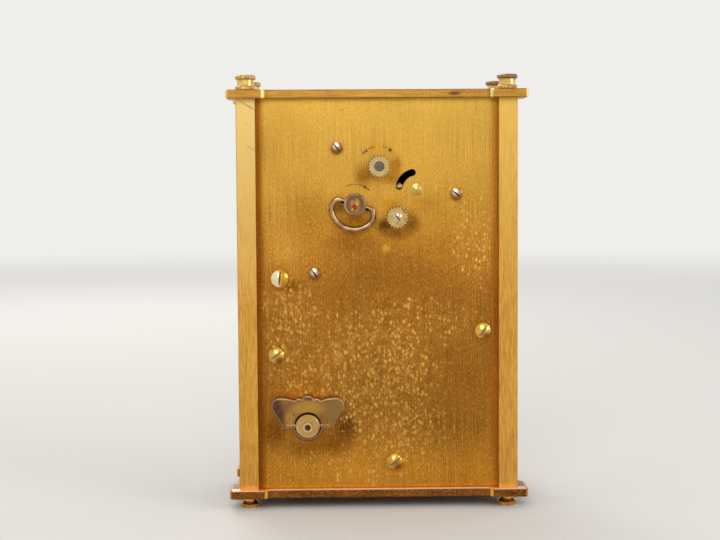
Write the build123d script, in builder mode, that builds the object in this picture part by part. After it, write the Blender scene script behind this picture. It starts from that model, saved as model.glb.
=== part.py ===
from build123d import *
import os
from math import atan2, cos, degrees, hypot, pi, radians, sin

# A desk clock with an alarm that is a musical movement. Two brass plates and four grooved
# corner posts make the case. Glass slides into the front and the sides, and a brass panel
# closes the back, where all the keys, knobs and screws are.
# Millimetres. +Z is up, the dial looks along -Y and the brass panel along +Y.
# Places on the back are given as (u, z): u to the right as seen from behind, so x = -u.

# Case
plate_width = 96.0
plate_thickness = 2.8
lug_flat = 11.0
cove_run = 2.9
edge_recess = 1.7
lug_corner_radius = 0.8
plate_edge_break = 0.3
post_side = 6.2
post_overhang = 3.0
post_edge_radius = 0.35
rod_radius = 1.5
rod_thread_radius = 1.0
rod_play = 0.1
foot_height = 3.7
foot_radius = 3.15
foot_sole_radius = 2.7
foot_bead_low = 0.7
foot_bead_high = 1.3
foot_neck_radius = 1.8
foot_neck_height = 2.4
foot_collar_radius = 2.3
foot_collar_height = 0.7
foot_thread_length = 2.5
finial_height = 4.8
finial_radius = 3.3
finial_bead_height = 1.45
finial_neck_radius = 2.7
finial_bead_round = 0.35
finial_thread_length = 2.9
thread_end_gap = 0.1

# Heights of the two axes that the back is laid out from, and the room round the motion work
music_key_height = 20.7
centre_rise = 65.94
top_room = 38.76
motion_space = 7.3

# Back panel, glass and dial
panel_thickness = 1.5
panel_inset = 1.1
panel_groove_depth = 0.8
glass_thickness = 1.6
glass_inset = 1.0
glass_groove_depth = 0.9
groove_play = 0.1
dial_thickness = 0.8
dial_post_gap = 0.2
dial_slot_depth = 0.8
dial_side_gap = 0.1
dial_hole_radius = 2.7
chapter_side_gap = 4.3
chapter_band = 9.0
chapter_thickness = 0.4

# Fits shared by the mechanism
running_fit = 0.05
screw_play = 0.1
push_fit = 0.02
pivot_radius = 0.3

# Places on the back: directions along the wheel trains, steps (u, z) from the hands' axis, and
# distances in from the posts' inner faces or down from the music movement's bed
second_direction = -83.78
winding_direction = 125.41
setting_direction = 103.34
time_knob_direction = 73.62
alarm_knob_direction = 8.7
third_direction = -30.0
escape_direction = -20.0
pallet_direction = -120.0
balance_direction = 186.0
lever_step = (12.49, 9.73)
small_screw_steps = [(-12.91, 23.18), (25.35, 8.27), (-20.25, -17.12)]
small_screw_slots = [-55.0, -40.0, -55.0]
left_screw_inset = 5.95
left_screw_drop = 13.18
right_screw_inset = 5.0
right_screw_drop = 5.74
low_screw_offset = 5.15
low_screw_rise = 5.4
large_screw_slots = [35.0, 55.0, 38.0]
tall_screw_inset = 7.38
tall_screw_drop = 18.45
tall_screw_slot = 84.0
music_key_inset = 16.0

# Rear controls, heights measured out from the panel's face
time_knob_radius = 3.6
time_knob_gap = 0.8
time_knob_length = 4.2
time_core_radius = 1.6
time_core_recess = 0.15
knurl_teeth = 40
knurl_depth = 0.25
knurl_root_share = 0.72
knurl_tip_share = 0.24
alarm_knob_radius = 3.55
alarm_knob_gap = 0.8
alarm_knob_length = 3.8
alarm_knob_face = 0.9
alarm_knob_rim = 0.75
alarm_knob_dish = 0.3
alarm_screw_radius = 1.5
alarm_screw_height = 1.1
alarm_screw_crown = 0.5
alarm_screw_length = 2.5
alarm_screw_slot_width = 0.4
alarm_screw_slot_depth = 0.66
alarm_screw_slot = -56.0
alarm_thread_radius = 0.5
hub_radius = 3.53
hub_gap = 0.6
hub_length = 4.4
hub_bore_depth = 3.3
hub_foot_edge = 0.2
hub_top_edge = 0.5
ring_wire_radius = 0.85
ring_axis_height = 2.7
ring_axis_tilt = -17.4
ring_half_width = 6.85
ring_depth = 8.05
ring_corner_radius = 1.0
ring_corner_turn = 57.5
ring_shoulder_radius = 4.0
ring_side_radius = 3.6
ring_pin_end = 1.3
lever_pin_reach = 5.55
lever_pin_radius = 1.0
lever_slot_width = 2.24
lever_slot_start = 169.0
lever_slot_end = 103.0
lever_arm_thickness = 0.8
lever_arm_gap = 0.3
lever_boss_radius = 1.9
lever_end_radius = 1.5
lever_arm_spread = 15.0
lever_stud_radius = 1.8
lever_stud_gap = 0.1
lever_stud_edge = 0.4
lever_stud_height = 1.1
lever_stud_tip_radius = 0.15
lever_pin_height = 1.2
lever_pin_dome = 0.4
lever_pin_tip_radius = 0.6
music_flange_radius = 5.2
music_flange_thickness = 0.9
music_flange_edge = 0.25
music_flange_gap = 0.3
music_hub_radius = 3.85
music_hub_height = 4.2
music_hub_edge = 0.3
music_stud_radius = 1.5
music_stud_height = 6.0
music_dimple_radius = 0.8
music_dimple_depth = 0.6
music_dimple_taper = 40
music_arbor_over = 0.6
wing_thickness = 0.9
wing_gap = 1.75
wing_pin_radius = 0.55
wing_pin_length = 5.4
wing_pin_end_gap = 0.1
wing_arch_radius = 4.3
wing_foot = (7.8, -0.8)
wing_side = (11.3, 5.2)
wing_crown = (9.2, 8.95)
wing_cusp = (4.15, 8.0)
wing_bump = (3.05, 8.75)
wing_inner_cusp = (1.9, 8.45)
wing_peak_side = (1.25, 9.35)
wing_peak = (0, 9.65)

# Screws
small_shank_radius = 1.1
small_head_radius = 1.9
small_head_height = 1.1
small_head_crown = 0.45
small_slot_width = 0.45
small_slot_depth = 0.65
large_shank_radius = 1.5
large_head_radius = 2.53
large_head_height = 1.7
large_head_crown = 0.95
large_slot_width = 0.6
large_slot_depth = 1.0
tall_head_radius = 2.75
tall_head_height = 3.3
tall_head_crown = 1.0
tall_slot_width = 0.65
tall_slot_depth = 1.3
pillar_thread_depth = 3.0
screw_end_gap = 0.3

# Time movement
movement_radius = 29.5
movement_plate_thickness = 1.5
movement_spacer = 3.0
movement_gap = 16.9
pillar_radius = 2.5
front_gap = 0.9
tooth_addendum = 0.8
tooth_dedendum = 1.1
tooth_root_share = 0.5
tooth_tip_share = 0.2
pinion_overhang = 0.2
wheel_rim = 0.9
wheel_boss = 1.0
wheel_boss_share = 0.3
wheel_arm = 1.0
motion_module = 0.3
cannon_teeth = 10
minute_teeth = 30
minute_pinion_teeth = 8
hour_teeth = 32
set_pinion_teeth = 12
setting_teeth = 48
alarm_pinion_teeth = 12
alarm_teeth = 30
motion_wheel_thickness = 0.8
motion_wheel_gap = 0.8
centre_stud_radius = 0.7
centre_shoulder_radius = 1.5
centre_shoulder_height = 0.5
centre_stud_recess = 0.2
setting_stud_radius = 0.8
stud_over = 0.5
pipe_wall = 0.45
knob_arbor_radius = 0.9
knob_arbor_over = 0.3
arbor_play = 0.3
hand_thickness = 0.35
hand_step = 0.85
hand_nut_height = 0.6
hand_nut_radius = 2.0
hand_taper = 0.6
hand_spade_back = 2.6
hand_spade_shoulder = 0.3
hand_spade_half = 0.9
alarm_hand_length = 15.0
alarm_hand_boss = 3.2
alarm_hand_half = 0.5
alarm_hand_spade = 0.9
alarm_hand_dial_angle = 180
hour_hand_length = 20.0
hour_hand_boss = 2.9
hour_hand_half = 0.8
hour_hand_spade = 2.1
hour_hand_dial_angle = 305
minute_hand_length = 29.0
minute_hand_boss = 2.5
minute_hand_half = 0.7
minute_hand_spade = 1.6
minute_hand_dial_angle = 60
great_teeth = 60
great_module = 0.4
second_pinion_teeth = 8
second_teeth = 52
second_module = 0.3
third_pinion_teeth = 8
third_teeth = 60
third_module = 0.25
escape_pinion_teeth = 8
escape_teeth = 15
escape_radius = 5.0
escape_root_radius = 3.9
escape_thickness = 0.6
escape_hook_lean = 3.0
escape_back_lean = 15.0
escape_web_radius = 3.3
escape_boss_radius = 1.5
escape_arm = 0.7
train_thickness = 0.8
second_wheel_height = 2.6
third_wheel_height = 11.0
escape_wheel_height = 7.0
second_arbor_radius = 0.6
second_front_radius = 0.5
third_arbor_radius = 0.6
escape_arbor_radius = 0.5
pallet_arbor_radius = 0.4
balance_arbor_radius = 0.4
end_shake = 0.15
great_thickness = 1.2
barrel_height = 6.0
barrel_end_room = 1.3
barrel_wall = 0.7
barrel_step = 0.56
barrel_pivot_radius = 0.8
barrel_arbor_radius = 1.2
barrel_core_radius = 3.0
cap_thickness = 0.7
core_play = 0.15
spring_play = 0.2
mainspring_strip = 0.4
mainspring_turns = 6
ratchet_teeth = 24
ratchet_radius = 5.0
ratchet_root_radius = 4.3
ratchet_thickness = 0.8
ratchet_gap = 0.6
click_reach = 7.6
click_direction = 150.0
click_tip_direction = 115.0
click_tip_lead = 2.0
click_tip_gap = 0.15
click_boss_radius = 1.3
click_arm_inner = (0.7, -30.0)
click_arm_outer = (1.2, 100.0)
click_pin_radius = 0.7
click_pin_over = 0.6
pallet_reach = 6.2
pallet_pin_radius = 0.3
pallet_pin_gap = 0.35
pallet_pin_spread = 34.0
pallet_thickness = 0.6
pallet_gap = 0.5
pallet_arm_half = 0.8
pallet_arm_tip = 0.5
pallet_pin_boss = 0.55
fork_reach = 5.0
fork_half_width = 0.75
fork_slot_length = 1.0
fork_slot_width = 0.6
balance_distance = 7.5
balance_radius = 6.0
balance_rim = 0.9
balance_boss_radius = 1.4
balance_arm = 0.9
balance_thickness = 1.0
balance_depth = 3.3
roller_gap = 0.8
roller_radius = 1.3
roller_thickness = 0.8
roller_pin_reach = 0.95
roller_pin_radius = 0.2
hairspring_gap = 0.4
hairspring_start = 1.3
hairspring_width = 0.7
hairspring_strip = 0.2
hairspring_pitch = 0.8
hairspring_turns = 4
collet_over = 0.2
spring_stud_radius = 0.4

# Bracket that the tall screw holds
bracket_thickness = 1.2
bracket_width = 6.0
bracket_bed_gap = 1.69
bracket_lip = 6.0

# Music movement
bed_thickness = 2.4
bed_side_gap = 0.8
bed_floor_gap = 3.0
bed_movement_gap = 0.64
bed_corner = 3.0
drum_radius = 13.0
drum_length = 9.4
drum_gap = 0.6
drum_wall = 0.9
drum_web = 1.2
crown_teeth = 60
crown_module = 0.4
crown_tooth_height = 0.95
crown_tooth_length = 1.6
crown_tooth_width = 0.62
crown_taper = 12
crown_depth = 0.35
music_core_radius = 3.2
music_strip = 0.45
music_turns = 7
cylinder_pinion_teeth = 12
cylinder_radius = 6.5
cylinder_side_room = 8.0
cylinder_arbor_radius = 0.9
cylinder_arbor_over = 0.4
arbor_overhang = 0.3
governor_module = 0.25
cylinder_gear_teeth = 56
cylinder_gear_gap = 0.8
music_wheel_thickness = 0.8
governor_pinion_teeth = 10
governor_teeth = 40
governor_wheel_thickness = 0.6
governor_arbor_radius = 0.5
fly_pinion_teeth = 8
fly_arbor_radius = 0.4
fly_radius = 3.0
fly_blade_length = 3.6
fly_blade_thickness = 0.5
bridge_thickness = 1.2
bridge_gap = 0.6
bridge_gear_gap = 0.8
bridge_margin = 4.0
bridge_front_room = 2.4
bridge_corner = 1.0
cage_margin = 3.0
cage_room = 3.3
cage_wall_thickness = 1.0
cage_end_shake = 0.2
governor_wheel_gap = 1.4
fly_blade_offset = 1.2
fly_arbor_over = 0.4
comb_teeth = 30
comb_margin = 1.6
comb_slot = 0.3
comb_height = 18.0
comb_heel_height = 7.0
comb_taper = 4.0
comb_thickness = 1.2
comb_tip_gap = 0.5
comb_screw_inset = 5.0

# Depths (Y). The dial, the motion work, the movement and the panel add up between the posts'
# faces. The case stands forward of the origin, which lies under the middle of the whole clock.
movement_depth = 2 * movement_plate_thickness + movement_gap + movement_spacer
inner_depth = dial_post_gap + dial_thickness + motion_space + movement_depth
plate_depth = inner_depth + panel_thickness + panel_inset + post_side + 2 * post_overhang
post_face = plate_depth / 2 - post_overhang
rear_reach = post_face - panel_inset + music_stud_height
case_y = -(rear_reach - plate_depth / 2) / 2
panel_back = case_y + post_face - panel_inset
panel_front = panel_back - panel_thickness
rear_plate_back = panel_front - movement_spacer
rear_plate_front = rear_plate_back - movement_plate_thickness
front_plate_back = rear_plate_front - movement_gap
front_plate_front = front_plate_back - movement_plate_thickness
glass_front = case_y - post_face + glass_inset
glass_back = glass_front + glass_thickness

# Widths (X)
post_x = plate_width / 2 - post_overhang - post_side / 2
post_y = plate_depth / 2 - post_overhang - post_side / 2
post_inner_x = post_x - post_side / 2
post_inner_y = post_y - post_side / 2
dial_front = case_y - post_inner_y + dial_post_gap
dial_back = dial_front + dial_thickness
dial_width = 2 * (post_x - glass_thickness / 2 - dial_side_gap)
chapter_outer_radius = post_inner_x - chapter_side_gap
chapter_inner_radius = chapter_outer_radius - chapter_band
bed_half_width = post_inner_x - bed_side_gap

# Heights (Z)
post_length = music_key_height + centre_rise + top_room
base_bottom = foot_height
base_top = base_bottom + plate_thickness
top_bottom = base_top + post_length
top_top = top_bottom + plate_thickness
centre_z = base_top + music_key_height + centre_rise
bed_bottom = base_top + bed_floor_gap
bed_top = centre_z - movement_radius - bed_movement_gap

os.makedirs("parts", exist_ok=True)


def save(builder, name):
    """Name a finished piece and write it as one file."""
    builder.part.label = name
    export_step(builder.part, f"parts/{name}.step")


def rear_plane(y, at=(0.0, 0.0), turn=0.0):
    """A plane seen from behind at depth y, its origin at (u, z), turned anticlockwise."""
    x_dir = (-cos(radians(turn)), 0, sin(radians(turn)))
    return Plane(origin=(-at[0], y, at[1]), x_dir=x_dir, z_dir=(0, 1, 0))


def side_plane(x, y, z):
    """A plane across the X axis, for what turns on the music cylinder's arbors."""
    return Plane(origin=(x, y, z), x_dir=(0, 1, 0), z_dir=(1, 0, 0))


def disc(plane, radius, height, bore=0.0):
    """Add a round or ring-shaped disc; a negative height goes back from the plane."""
    with BuildSketch(plane.offset(min(height, 0))) as face:
        Circle(radius)
        if bore > 0:
            Circle(bore, mode=Mode.SUBTRACT)
    extrude(face.sketch, amount=abs(height))


def drill(plane, radius, depth):
    """Cut a round hole from a plane; a negative depth goes back from it."""
    with BuildSketch(plane.offset(min(depth, 0))) as face:
        Circle(radius)
    extrude(face.sketch, amount=abs(depth), mode=Mode.SUBTRACT)


def ray(at, reach, angle):
    """The place at a reach and an angle (degrees) from another place."""
    return (at[0] + reach * cos(radians(angle)), at[1] + reach * sin(radians(angle)))


def bearing_of(start, end):
    """The angle in degrees from one place to another."""
    return degrees(atan2(end[1] - start[1], end[0] - start[0]))


def step_from(at, step):
    """The place a step (u, z) away from another."""
    return (at[0] + step[0], at[1] + step[1])


def pitch_radius(teeth, module):
    """The radius at which a wheel of that module meets another."""
    return teeth * module / 2


def tooth_points(teeth, root, tip, root_share, tip_share, phase):
    """The outline of a wheel whose teeth taper from root to tip."""
    points = []
    step = 360 / teeth
    for index in range(teeth):
        middle = phase + index * step
        left_side = [(root, -root_share), (tip, -tip_share)]
        right_side = [(tip, tip_share), (root, root_share)]
        for reach, share in left_side + right_side:
            points.append(ray((0, 0), reach, middle + share * step / 2))
    return points


def gear(plane, teeth, module, height, bore=0.0, phase=0.0, windows=0):
    """Add a toothed wheel; windows cut its web into arms."""
    pitch = pitch_radius(teeth, module)
    root = pitch - tooth_dedendum * module
    tip = pitch + tooth_addendum * module
    with BuildSketch(plane) as face:
        outline = tooth_points(teeth, root, tip, tooth_root_share, tooth_tip_share, phase)
        Polygon(*outline, align=None)
        if bore > 0:
            Circle(bore, mode=Mode.SUBTRACT)
        if windows > 0:
            outer = root - wheel_rim
            inner = max(bore + wheel_boss, wheel_boss_share * outer)
            with BuildSketch(mode=Mode.PRIVATE) as web:
                Circle(outer)
                Circle(inner, mode=Mode.SUBTRACT)
                with PolarLocations(0, windows):
                    Rectangle(root, wheel_arm, align=(Align.MIN, Align.CENTER), mode=Mode.SUBTRACT)
            add(web.sketch, mode=Mode.SUBTRACT)
    extrude(face.sketch, amount=height)


def mesh_phase(teeth, phase, at, other_teeth, other_at):
    """The phase that sets a wheel's gap against the tooth of the wheel that it meets."""
    line = bearing_of(at, other_at)
    return line + 180 - ((phase - line) * teeth + 180) / other_teeth


def spiral_outline(start_radius, pitch, turns, strip):
    """A flat spiral strip in the open sketch: half turns about two centres in turn."""
    half = strip / 2
    radius = start_radius
    centre = 0.0
    sign = 1
    with BuildLine() as outline:
        Line((radius - half, 0), (radius + half, 0))
        for _ in range(2 * turns):
            for reach in (radius + half, radius - half):
                ThreePointArc(
                    (centre + sign * reach, 0), (centre, sign * reach), (centre - sign * reach, 0)
                )
            next_radius = radius + pitch / 2
            centre = centre + sign * (next_radius - radius)
            radius = next_radius
            sign = -sign
        Line((centre + sign * (radius - half), 0), (centre + sign * (radius + half), 0))
    make_face(outline.edges())


def spiral_gap(start_radius, pitch, turns, strip):
    """The least distance between one turn of a spiral strip and the next, on points."""
    points = []
    radius = start_radius
    centre = 0.0
    sign = 1
    for _ in range(2 * turns):
        for step in range(24):
            angle = pi * step / 24
            points.append((centre + sign * radius * cos(angle), sign * radius * sin(angle)))
        next_radius = radius + pitch / 2
        centre = centre + sign * (next_radius - radius)
        radius = next_radius
        sign = -sign
    turn = 48
    gaps = []
    for index, first in enumerate(points):
        for second in points[index + turn // 2 :]:
            gaps.append(hypot(first[0] - second[0], first[1] - second[1]))
    return min(gaps) - strip


def upright(plane):
    """The plane that holds another plane's x direction and its normal."""
    return Plane(origin=plane.origin, x_dir=plane.x_dir, z_dir=plane.x_dir.cross(plane.z_dir))


def turned(plane, points):
    """Add a solid of revolution about a plane's normal; points are (radius, height)."""
    with BuildSketch(upright(plane)) as half:
        with BuildLine() as outline:
            Polyline((0, points[0][1]), *points, (0, points[-1][1]), close=True)
        make_face(outline.edges())
    revolve(half.sketch, axis=Axis(plane.origin, plane.z_dir))


def slotted_head(plane, radius, height, crown, slot_width, slot_depth, slot_angle):
    """Add a screw head with straight sides, a domed top and a slot across it."""
    with BuildSketch(upright(plane)) as half:
        with BuildLine() as outline:
            dome = TangentArc((0, height), (radius, height - crown), tangent=(1, 0))
            Polyline(dome @ 1, (radius, 0), (0, 0), dome @ 0)
        make_face(outline.edges())
    revolve(half.sketch, axis=Axis(plane.origin, plane.z_dir))
    with BuildSketch(plane.offset(height - slot_depth)) as slot:
        Rectangle(3 * radius, slot_width, rotation=slot_angle)
    extrude(slot.sketch, amount=slot_depth, mode=Mode.SUBTRACT)


def curved_slot(reach, width, start, end):
    """A slot round the sketch's origin, with round ends at two angles."""
    outer = reach + width / 2
    inner = reach - width / 2
    middle = (start + end) / 2
    zero = (0, 0)
    with BuildLine() as outline:
        ThreePointArc(ray(zero, outer, start), ray(zero, outer, middle), ray(zero, outer, end))
        end_tip = ray(ray(zero, reach, end), width / 2, end + 90)
        ThreePointArc(ray(zero, outer, end), end_tip, ray(zero, inner, end))
        ThreePointArc(ray(zero, inner, end), ray(zero, inner, middle), ray(zero, inner, start))
        start_tip = ray(ray(zero, reach, start), width / 2, start - 90)
        ThreePointArc(ray(zero, inner, start), start_tip, ray(zero, outer, start))
    make_face(outline.edges())


def knurled(plane, radius, length, bore):
    """Add a knob with a fine straight knurl."""
    root = radius - knurl_depth
    with BuildSketch(plane) as face:
        outline = tooth_points(knurl_teeth, root, radius, knurl_root_share, knurl_tip_share, 0)
        Polygon(*outline, align=None)
        Circle(bore, mode=Mode.SUBTRACT)
    extrude(face.sketch, amount=length)


# Places on the back, (u, z)
great_reach = pitch_radius(great_teeth + second_pinion_teeth, great_module)
minute_reach = pitch_radius(cannon_teeth + minute_teeth, motion_module)
setting_reach = pitch_radius(cannon_teeth + setting_teeth, motion_module)
set_reach = pitch_radius(set_pinion_teeth + setting_teeth, motion_module)
alarm_reach = pitch_radius(alarm_teeth + alarm_pinion_teeth, motion_module)
third_reach = pitch_radius(second_teeth + third_pinion_teeth, second_module)
escape_reach = pitch_radius(third_teeth + escape_pinion_teeth, third_module)
centre_at = (0.0, centre_z)
second_at = ray(centre_at, minute_reach, second_direction)
winding_at = ray(second_at, great_reach, winding_direction)
setting_at = ray(centre_at, setting_reach, setting_direction)
time_knob_at = ray(setting_at, set_reach, time_knob_direction)
alarm_knob_at = ray(centre_at, alarm_reach, alarm_knob_direction)
third_at = ray(second_at, third_reach, third_direction)
escape_at = ray(third_at, escape_reach, escape_direction)
pallet_at = ray(escape_at, pallet_reach, pallet_direction)
balance_at = ray(pallet_at, balance_distance, balance_direction)
click_at = ray(winding_at, click_reach, click_direction)
train_at = [second_at, third_at, escape_at, pallet_at, balance_at]
lever_at = step_from(centre_at, lever_step)
small_screws_at = [step_from(centre_at, step) for step in small_screw_steps]
large_screws_at = [
    (left_screw_inset - post_inner_x, bed_top - left_screw_drop),
    (post_inner_x - right_screw_inset, bed_top - right_screw_drop),
    (low_screw_offset, bed_bottom + low_screw_rise),
]
tall_screw_at = (tall_screw_inset - post_inner_x, centre_z - tall_screw_drop)
bracket_drop = tall_screw_at[1] - bed_top - bracket_bed_gap
music_key_at = (music_key_inset - post_inner_x, base_top + music_key_height)
rod_places = [(x, case_y + y) for x in (-post_x, post_x) for y in (-post_y, post_y)]


# Case: plates
def plate_outline():
    """The plate's outline: square lugs at the corners, coved down to recessed edges."""
    half_x = plate_width / 2
    half_y = plate_depth / 2
    with BuildLine() as outline:
        long_y = half_y - edge_recess
        long_edge = Line((0, long_y), (half_x - lug_flat - cove_run, long_y))
        cove = TangentArc(long_edge @ 1, (half_x - lug_flat, half_y), tangent=(1, 0))
        lug = FilletPolyline(
            cove @ 1, (half_x, half_y), (half_x, half_y - lug_flat), radius=lug_corner_radius
        )
        short_cove = TangentArc(
            (half_x - edge_recess, half_y - lug_flat - cove_run), lug @ 1, tangent=(0, 1)
        )
        Line(short_cove @ 0, (half_x - edge_recess, 0))
        mirror(about=Plane.XZ)
        mirror(about=Plane.YZ)
    make_face(outline.edges())


def case_plate(bottom, slot_at_bottom):
    """A whole plate with its four rod holes and the slot for the dial."""
    with BuildPart() as plate:
        with BuildSketch(Plane.XY.offset(bottom)) as outline:
            plate_outline()
        moved = outline.sketch.moved(Location((0, case_y, 0)))
        extrude(moved, amount=plate_thickness)
        chamfer(plate.faces().filter_by(Axis.Z).edges(), plate_edge_break)
        slot_z = bottom if slot_at_bottom else bottom + plate_thickness - dial_slot_depth
        with BuildSketch(Plane.XY.offset(slot_z)) as slot:
            with Locations((0, (dial_front + dial_back) / 2)):
                Rectangle(dial_width + 2 * groove_play, dial_thickness + 2 * groove_play)
        extrude(slot.sketch, amount=dial_slot_depth, mode=Mode.SUBTRACT)
        with BuildSketch(Plane.XY.offset(bottom)) as holes:
            with Locations(*rod_places):
                Circle(rod_radius + rod_play)
        extrude(holes.sketch, amount=plate_thickness, mode=Mode.SUBTRACT)
    return plate


base_plate = case_plate(base_bottom, False)
save(base_plate, "base_plate")
top_plate = case_plate(top_bottom, True)
save(top_plate, "top_plate")

# Case: corner posts, each grooved for a side pane and for the front glass or the panel
for posts_name, side_y, across, across_width, across_depth in (
    ("front_posts", -1, (glass_front + glass_back) / 2, glass_thickness, glass_groove_depth),
    ("rear_posts", 1, (panel_front + panel_back) / 2, panel_thickness, panel_groove_depth),
):
    with BuildPart() as posts:
        with BuildSketch(Plane.XY.offset(base_top)):
            for side_x in (-1, 1):
                with Locations((side_x * post_x, case_y + side_y * post_y)):
                    RectangleRounded(post_side, post_side, post_edge_radius)
                    Circle(rod_radius + rod_play, mode=Mode.SUBTRACT)
                with Locations((side_x * (post_inner_x + across_depth / 2), across)):
                    Rectangle(across_depth, across_width + 2 * groove_play, mode=Mode.SUBTRACT)
                side_groove_y = case_y + side_y * (post_inner_y + glass_groove_depth / 2)
                with Locations((side_x * post_x, side_groove_y)):
                    side_groove = glass_thickness + 2 * groove_play
                    Rectangle(side_groove, glass_groove_depth, mode=Mode.SUBTRACT)
        extrude(amount=post_length)
    save(posts, posts_name)

# Case: tie rods, feet and finials
with BuildPart() as tie_rods:
    for x, y in rod_places:
        thread_start = base_bottom - foot_thread_length
        thread_end = top_top + finial_thread_length
        disc(Plane(origin=(x, y, thread_start)), rod_thread_radius, thread_end - thread_start)
        disc(Plane(origin=(x, y, base_bottom)), rod_radius, top_top - base_bottom)
save(tie_rods, "tie_rods")

with BuildPart() as feet:
    for x, y in rod_places:
        ground = Plane(origin=(x, y, 0))
        turned(
            ground,
            [
                (foot_sole_radius, 0),
                (foot_radius, foot_bead_low),
                (foot_radius, foot_bead_high),
                (foot_neck_radius, foot_neck_height),
                (foot_neck_radius, foot_height - foot_collar_height),
                (foot_collar_radius, foot_height - foot_collar_height),
                (foot_collar_radius, foot_height),
            ],
        )
        thread_hole = foot_thread_length + thread_end_gap
        drill(ground.offset(foot_height), rod_thread_radius + screw_play, -thread_hole)
save(feet, "feet")

with BuildPart() as finials:
    for x, y in rod_places:
        seat = Plane(origin=(x, y, top_top))
        bead = finial_bead_height
        upper = finial_height - bead
        edge = finial_bead_round
        turned(
            seat,
            [
                (finial_radius - edge, 0),
                (finial_radius, edge),
                (finial_radius, bead - edge),
                (finial_radius - edge, bead),
                (finial_neck_radius, bead),
                (finial_neck_radius, upper),
                (finial_radius - edge, upper),
                (finial_radius, upper + edge),
                (finial_radius, finial_height - edge),
                (finial_radius - edge, finial_height),
            ],
        )
        drill(seat, rod_thread_radius + screw_play, finial_thread_length + thread_end_gap)
save(finials, "finials")

# Case: glass in the front and the sides
front_width = 2 * (post_inner_x + glass_groove_depth - groove_play)
with BuildPart() as front_glass:
    with BuildSketch(Plane.XY.offset(base_top)):
        with Locations((0, (glass_front + glass_back) / 2)):
            Rectangle(front_width, glass_thickness)
    extrude(amount=post_length)
save(front_glass, "front_glass")

side_width = 2 * (post_inner_y + glass_groove_depth - groove_play)
with BuildPart() as side_glass:
    with BuildSketch(Plane.XY.offset(base_top)):
        with Locations((-post_x, case_y), (post_x, case_y)):
            Rectangle(glass_thickness, side_width)
    extrude(amount=post_length)
save(side_glass, "side_glass")

# Case: dial plate and chapter ring
dial_height = post_length + 2 * (dial_slot_depth - groove_play)
with BuildPart() as dial_plate:
    with BuildSketch(Plane.XY.offset(base_top - dial_slot_depth + groove_play)):
        with Locations((0, (dial_front + dial_back) / 2)):
            Rectangle(dial_width, dial_thickness)
    extrude(amount=dial_height)
    drill(rear_plane(dial_front, centre_at), dial_hole_radius, dial_thickness)
save(dial_plate, "dial_plate")

with BuildPart() as chapter_ring:
    disc(
        rear_plane(dial_front - chapter_thickness, centre_at),
        chapter_outer_radius,
        chapter_thickness,
        chapter_inner_radius,
    )
    chamfer(chapter_ring.faces().sort_by(Axis.Y)[0].edges(), chapter_thickness / 2)
save(chapter_ring, "chapter_ring")

# Back panel, with a hole for every arbor and screw and the curved slot of the alarm lever
panel_width = 2 * (post_inner_x + panel_groove_depth - groove_play)
with BuildPart() as back_panel:
    with BuildSketch(Plane.XY.offset(base_top)):
        with Locations((0, (panel_front + panel_back) / 2)):
            Rectangle(panel_width, panel_thickness)
    extrude(amount=post_length)
    with BuildSketch(rear_plane(panel_front)) as panel_holes:
        with Locations(time_knob_at, alarm_knob_at):
            Circle(knob_arbor_radius + arbor_play)
        with Locations(winding_at):
            Circle(barrel_arbor_radius + arbor_play)
        with Locations(music_key_at):
            Circle(music_stud_radius + arbor_play)
        with Locations(lever_at):
            Circle(lever_pin_radius + running_fit)
        with Locations(*small_screws_at):
            Circle(small_shank_radius + screw_play)
        with Locations(*large_screws_at, tall_screw_at):
            Circle(large_shank_radius + screw_play)
    extrude(panel_holes.sketch, amount=panel_thickness, mode=Mode.SUBTRACT)
    with BuildSketch(rear_plane(panel_front, lever_at)) as lever_slot:
        curved_slot(lever_pin_reach, lever_slot_width, lever_slot_end, lever_slot_start)
    extrude(lever_slot.sketch, amount=panel_thickness, mode=Mode.SUBTRACT)
save(back_panel, "back_panel")

# Screws on the panel
inner_screw_length = movement_plate_thickness + pillar_thread_depth
with BuildPart() as movement_screws:
    stem = panel_thickness + movement_spacer + movement_plate_thickness + pillar_thread_depth
    for place, angle in zip(small_screws_at, small_screw_slots):
        seat = rear_plane(panel_back, place)
        slotted_head(
            seat,
            small_head_radius,
            small_head_height,
            small_head_crown,
            small_slot_width,
            small_slot_depth,
            angle,
        )
        disc(seat, small_shank_radius, -stem)
save(movement_screws, "movement_screws")

with BuildPart() as bed_screws:
    for place, angle in zip(large_screws_at, large_screw_slots):
        seat = rear_plane(panel_back, place)
        slotted_head(
            seat,
            large_head_radius,
            large_head_height,
            large_head_crown,
            large_slot_width,
            large_slot_depth,
            angle,
        )
        disc(seat, large_shank_radius, -(panel_thickness + bed_thickness))
save(bed_screws, "bed_screws")

with BuildPart() as bracket_screw:
    seat = rear_plane(panel_back, tall_screw_at)
    slotted_head(
        seat,
        tall_head_radius,
        tall_head_height,
        tall_head_crown,
        tall_slot_width,
        tall_slot_depth,
        tall_screw_slot,
    )
    disc(seat, large_shank_radius, -(panel_thickness + bracket_thickness))
save(bracket_screw, "bracket_screw")

# Time movement: depths of the balance, its spring and the ratchet wheel
pivot_hole = pivot_radius + running_fit
hairspring_end = hairspring_start + hairspring_turns * hairspring_pitch
hairspring_stud_reach = hairspring_end + hairspring_strip / 2 + running_fit + spring_stud_radius
balance_y = rear_plate_front - balance_depth
hairspring_y = balance_y + balance_thickness + hairspring_gap
ratchet_y = rear_plate_back + ratchet_gap

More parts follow.
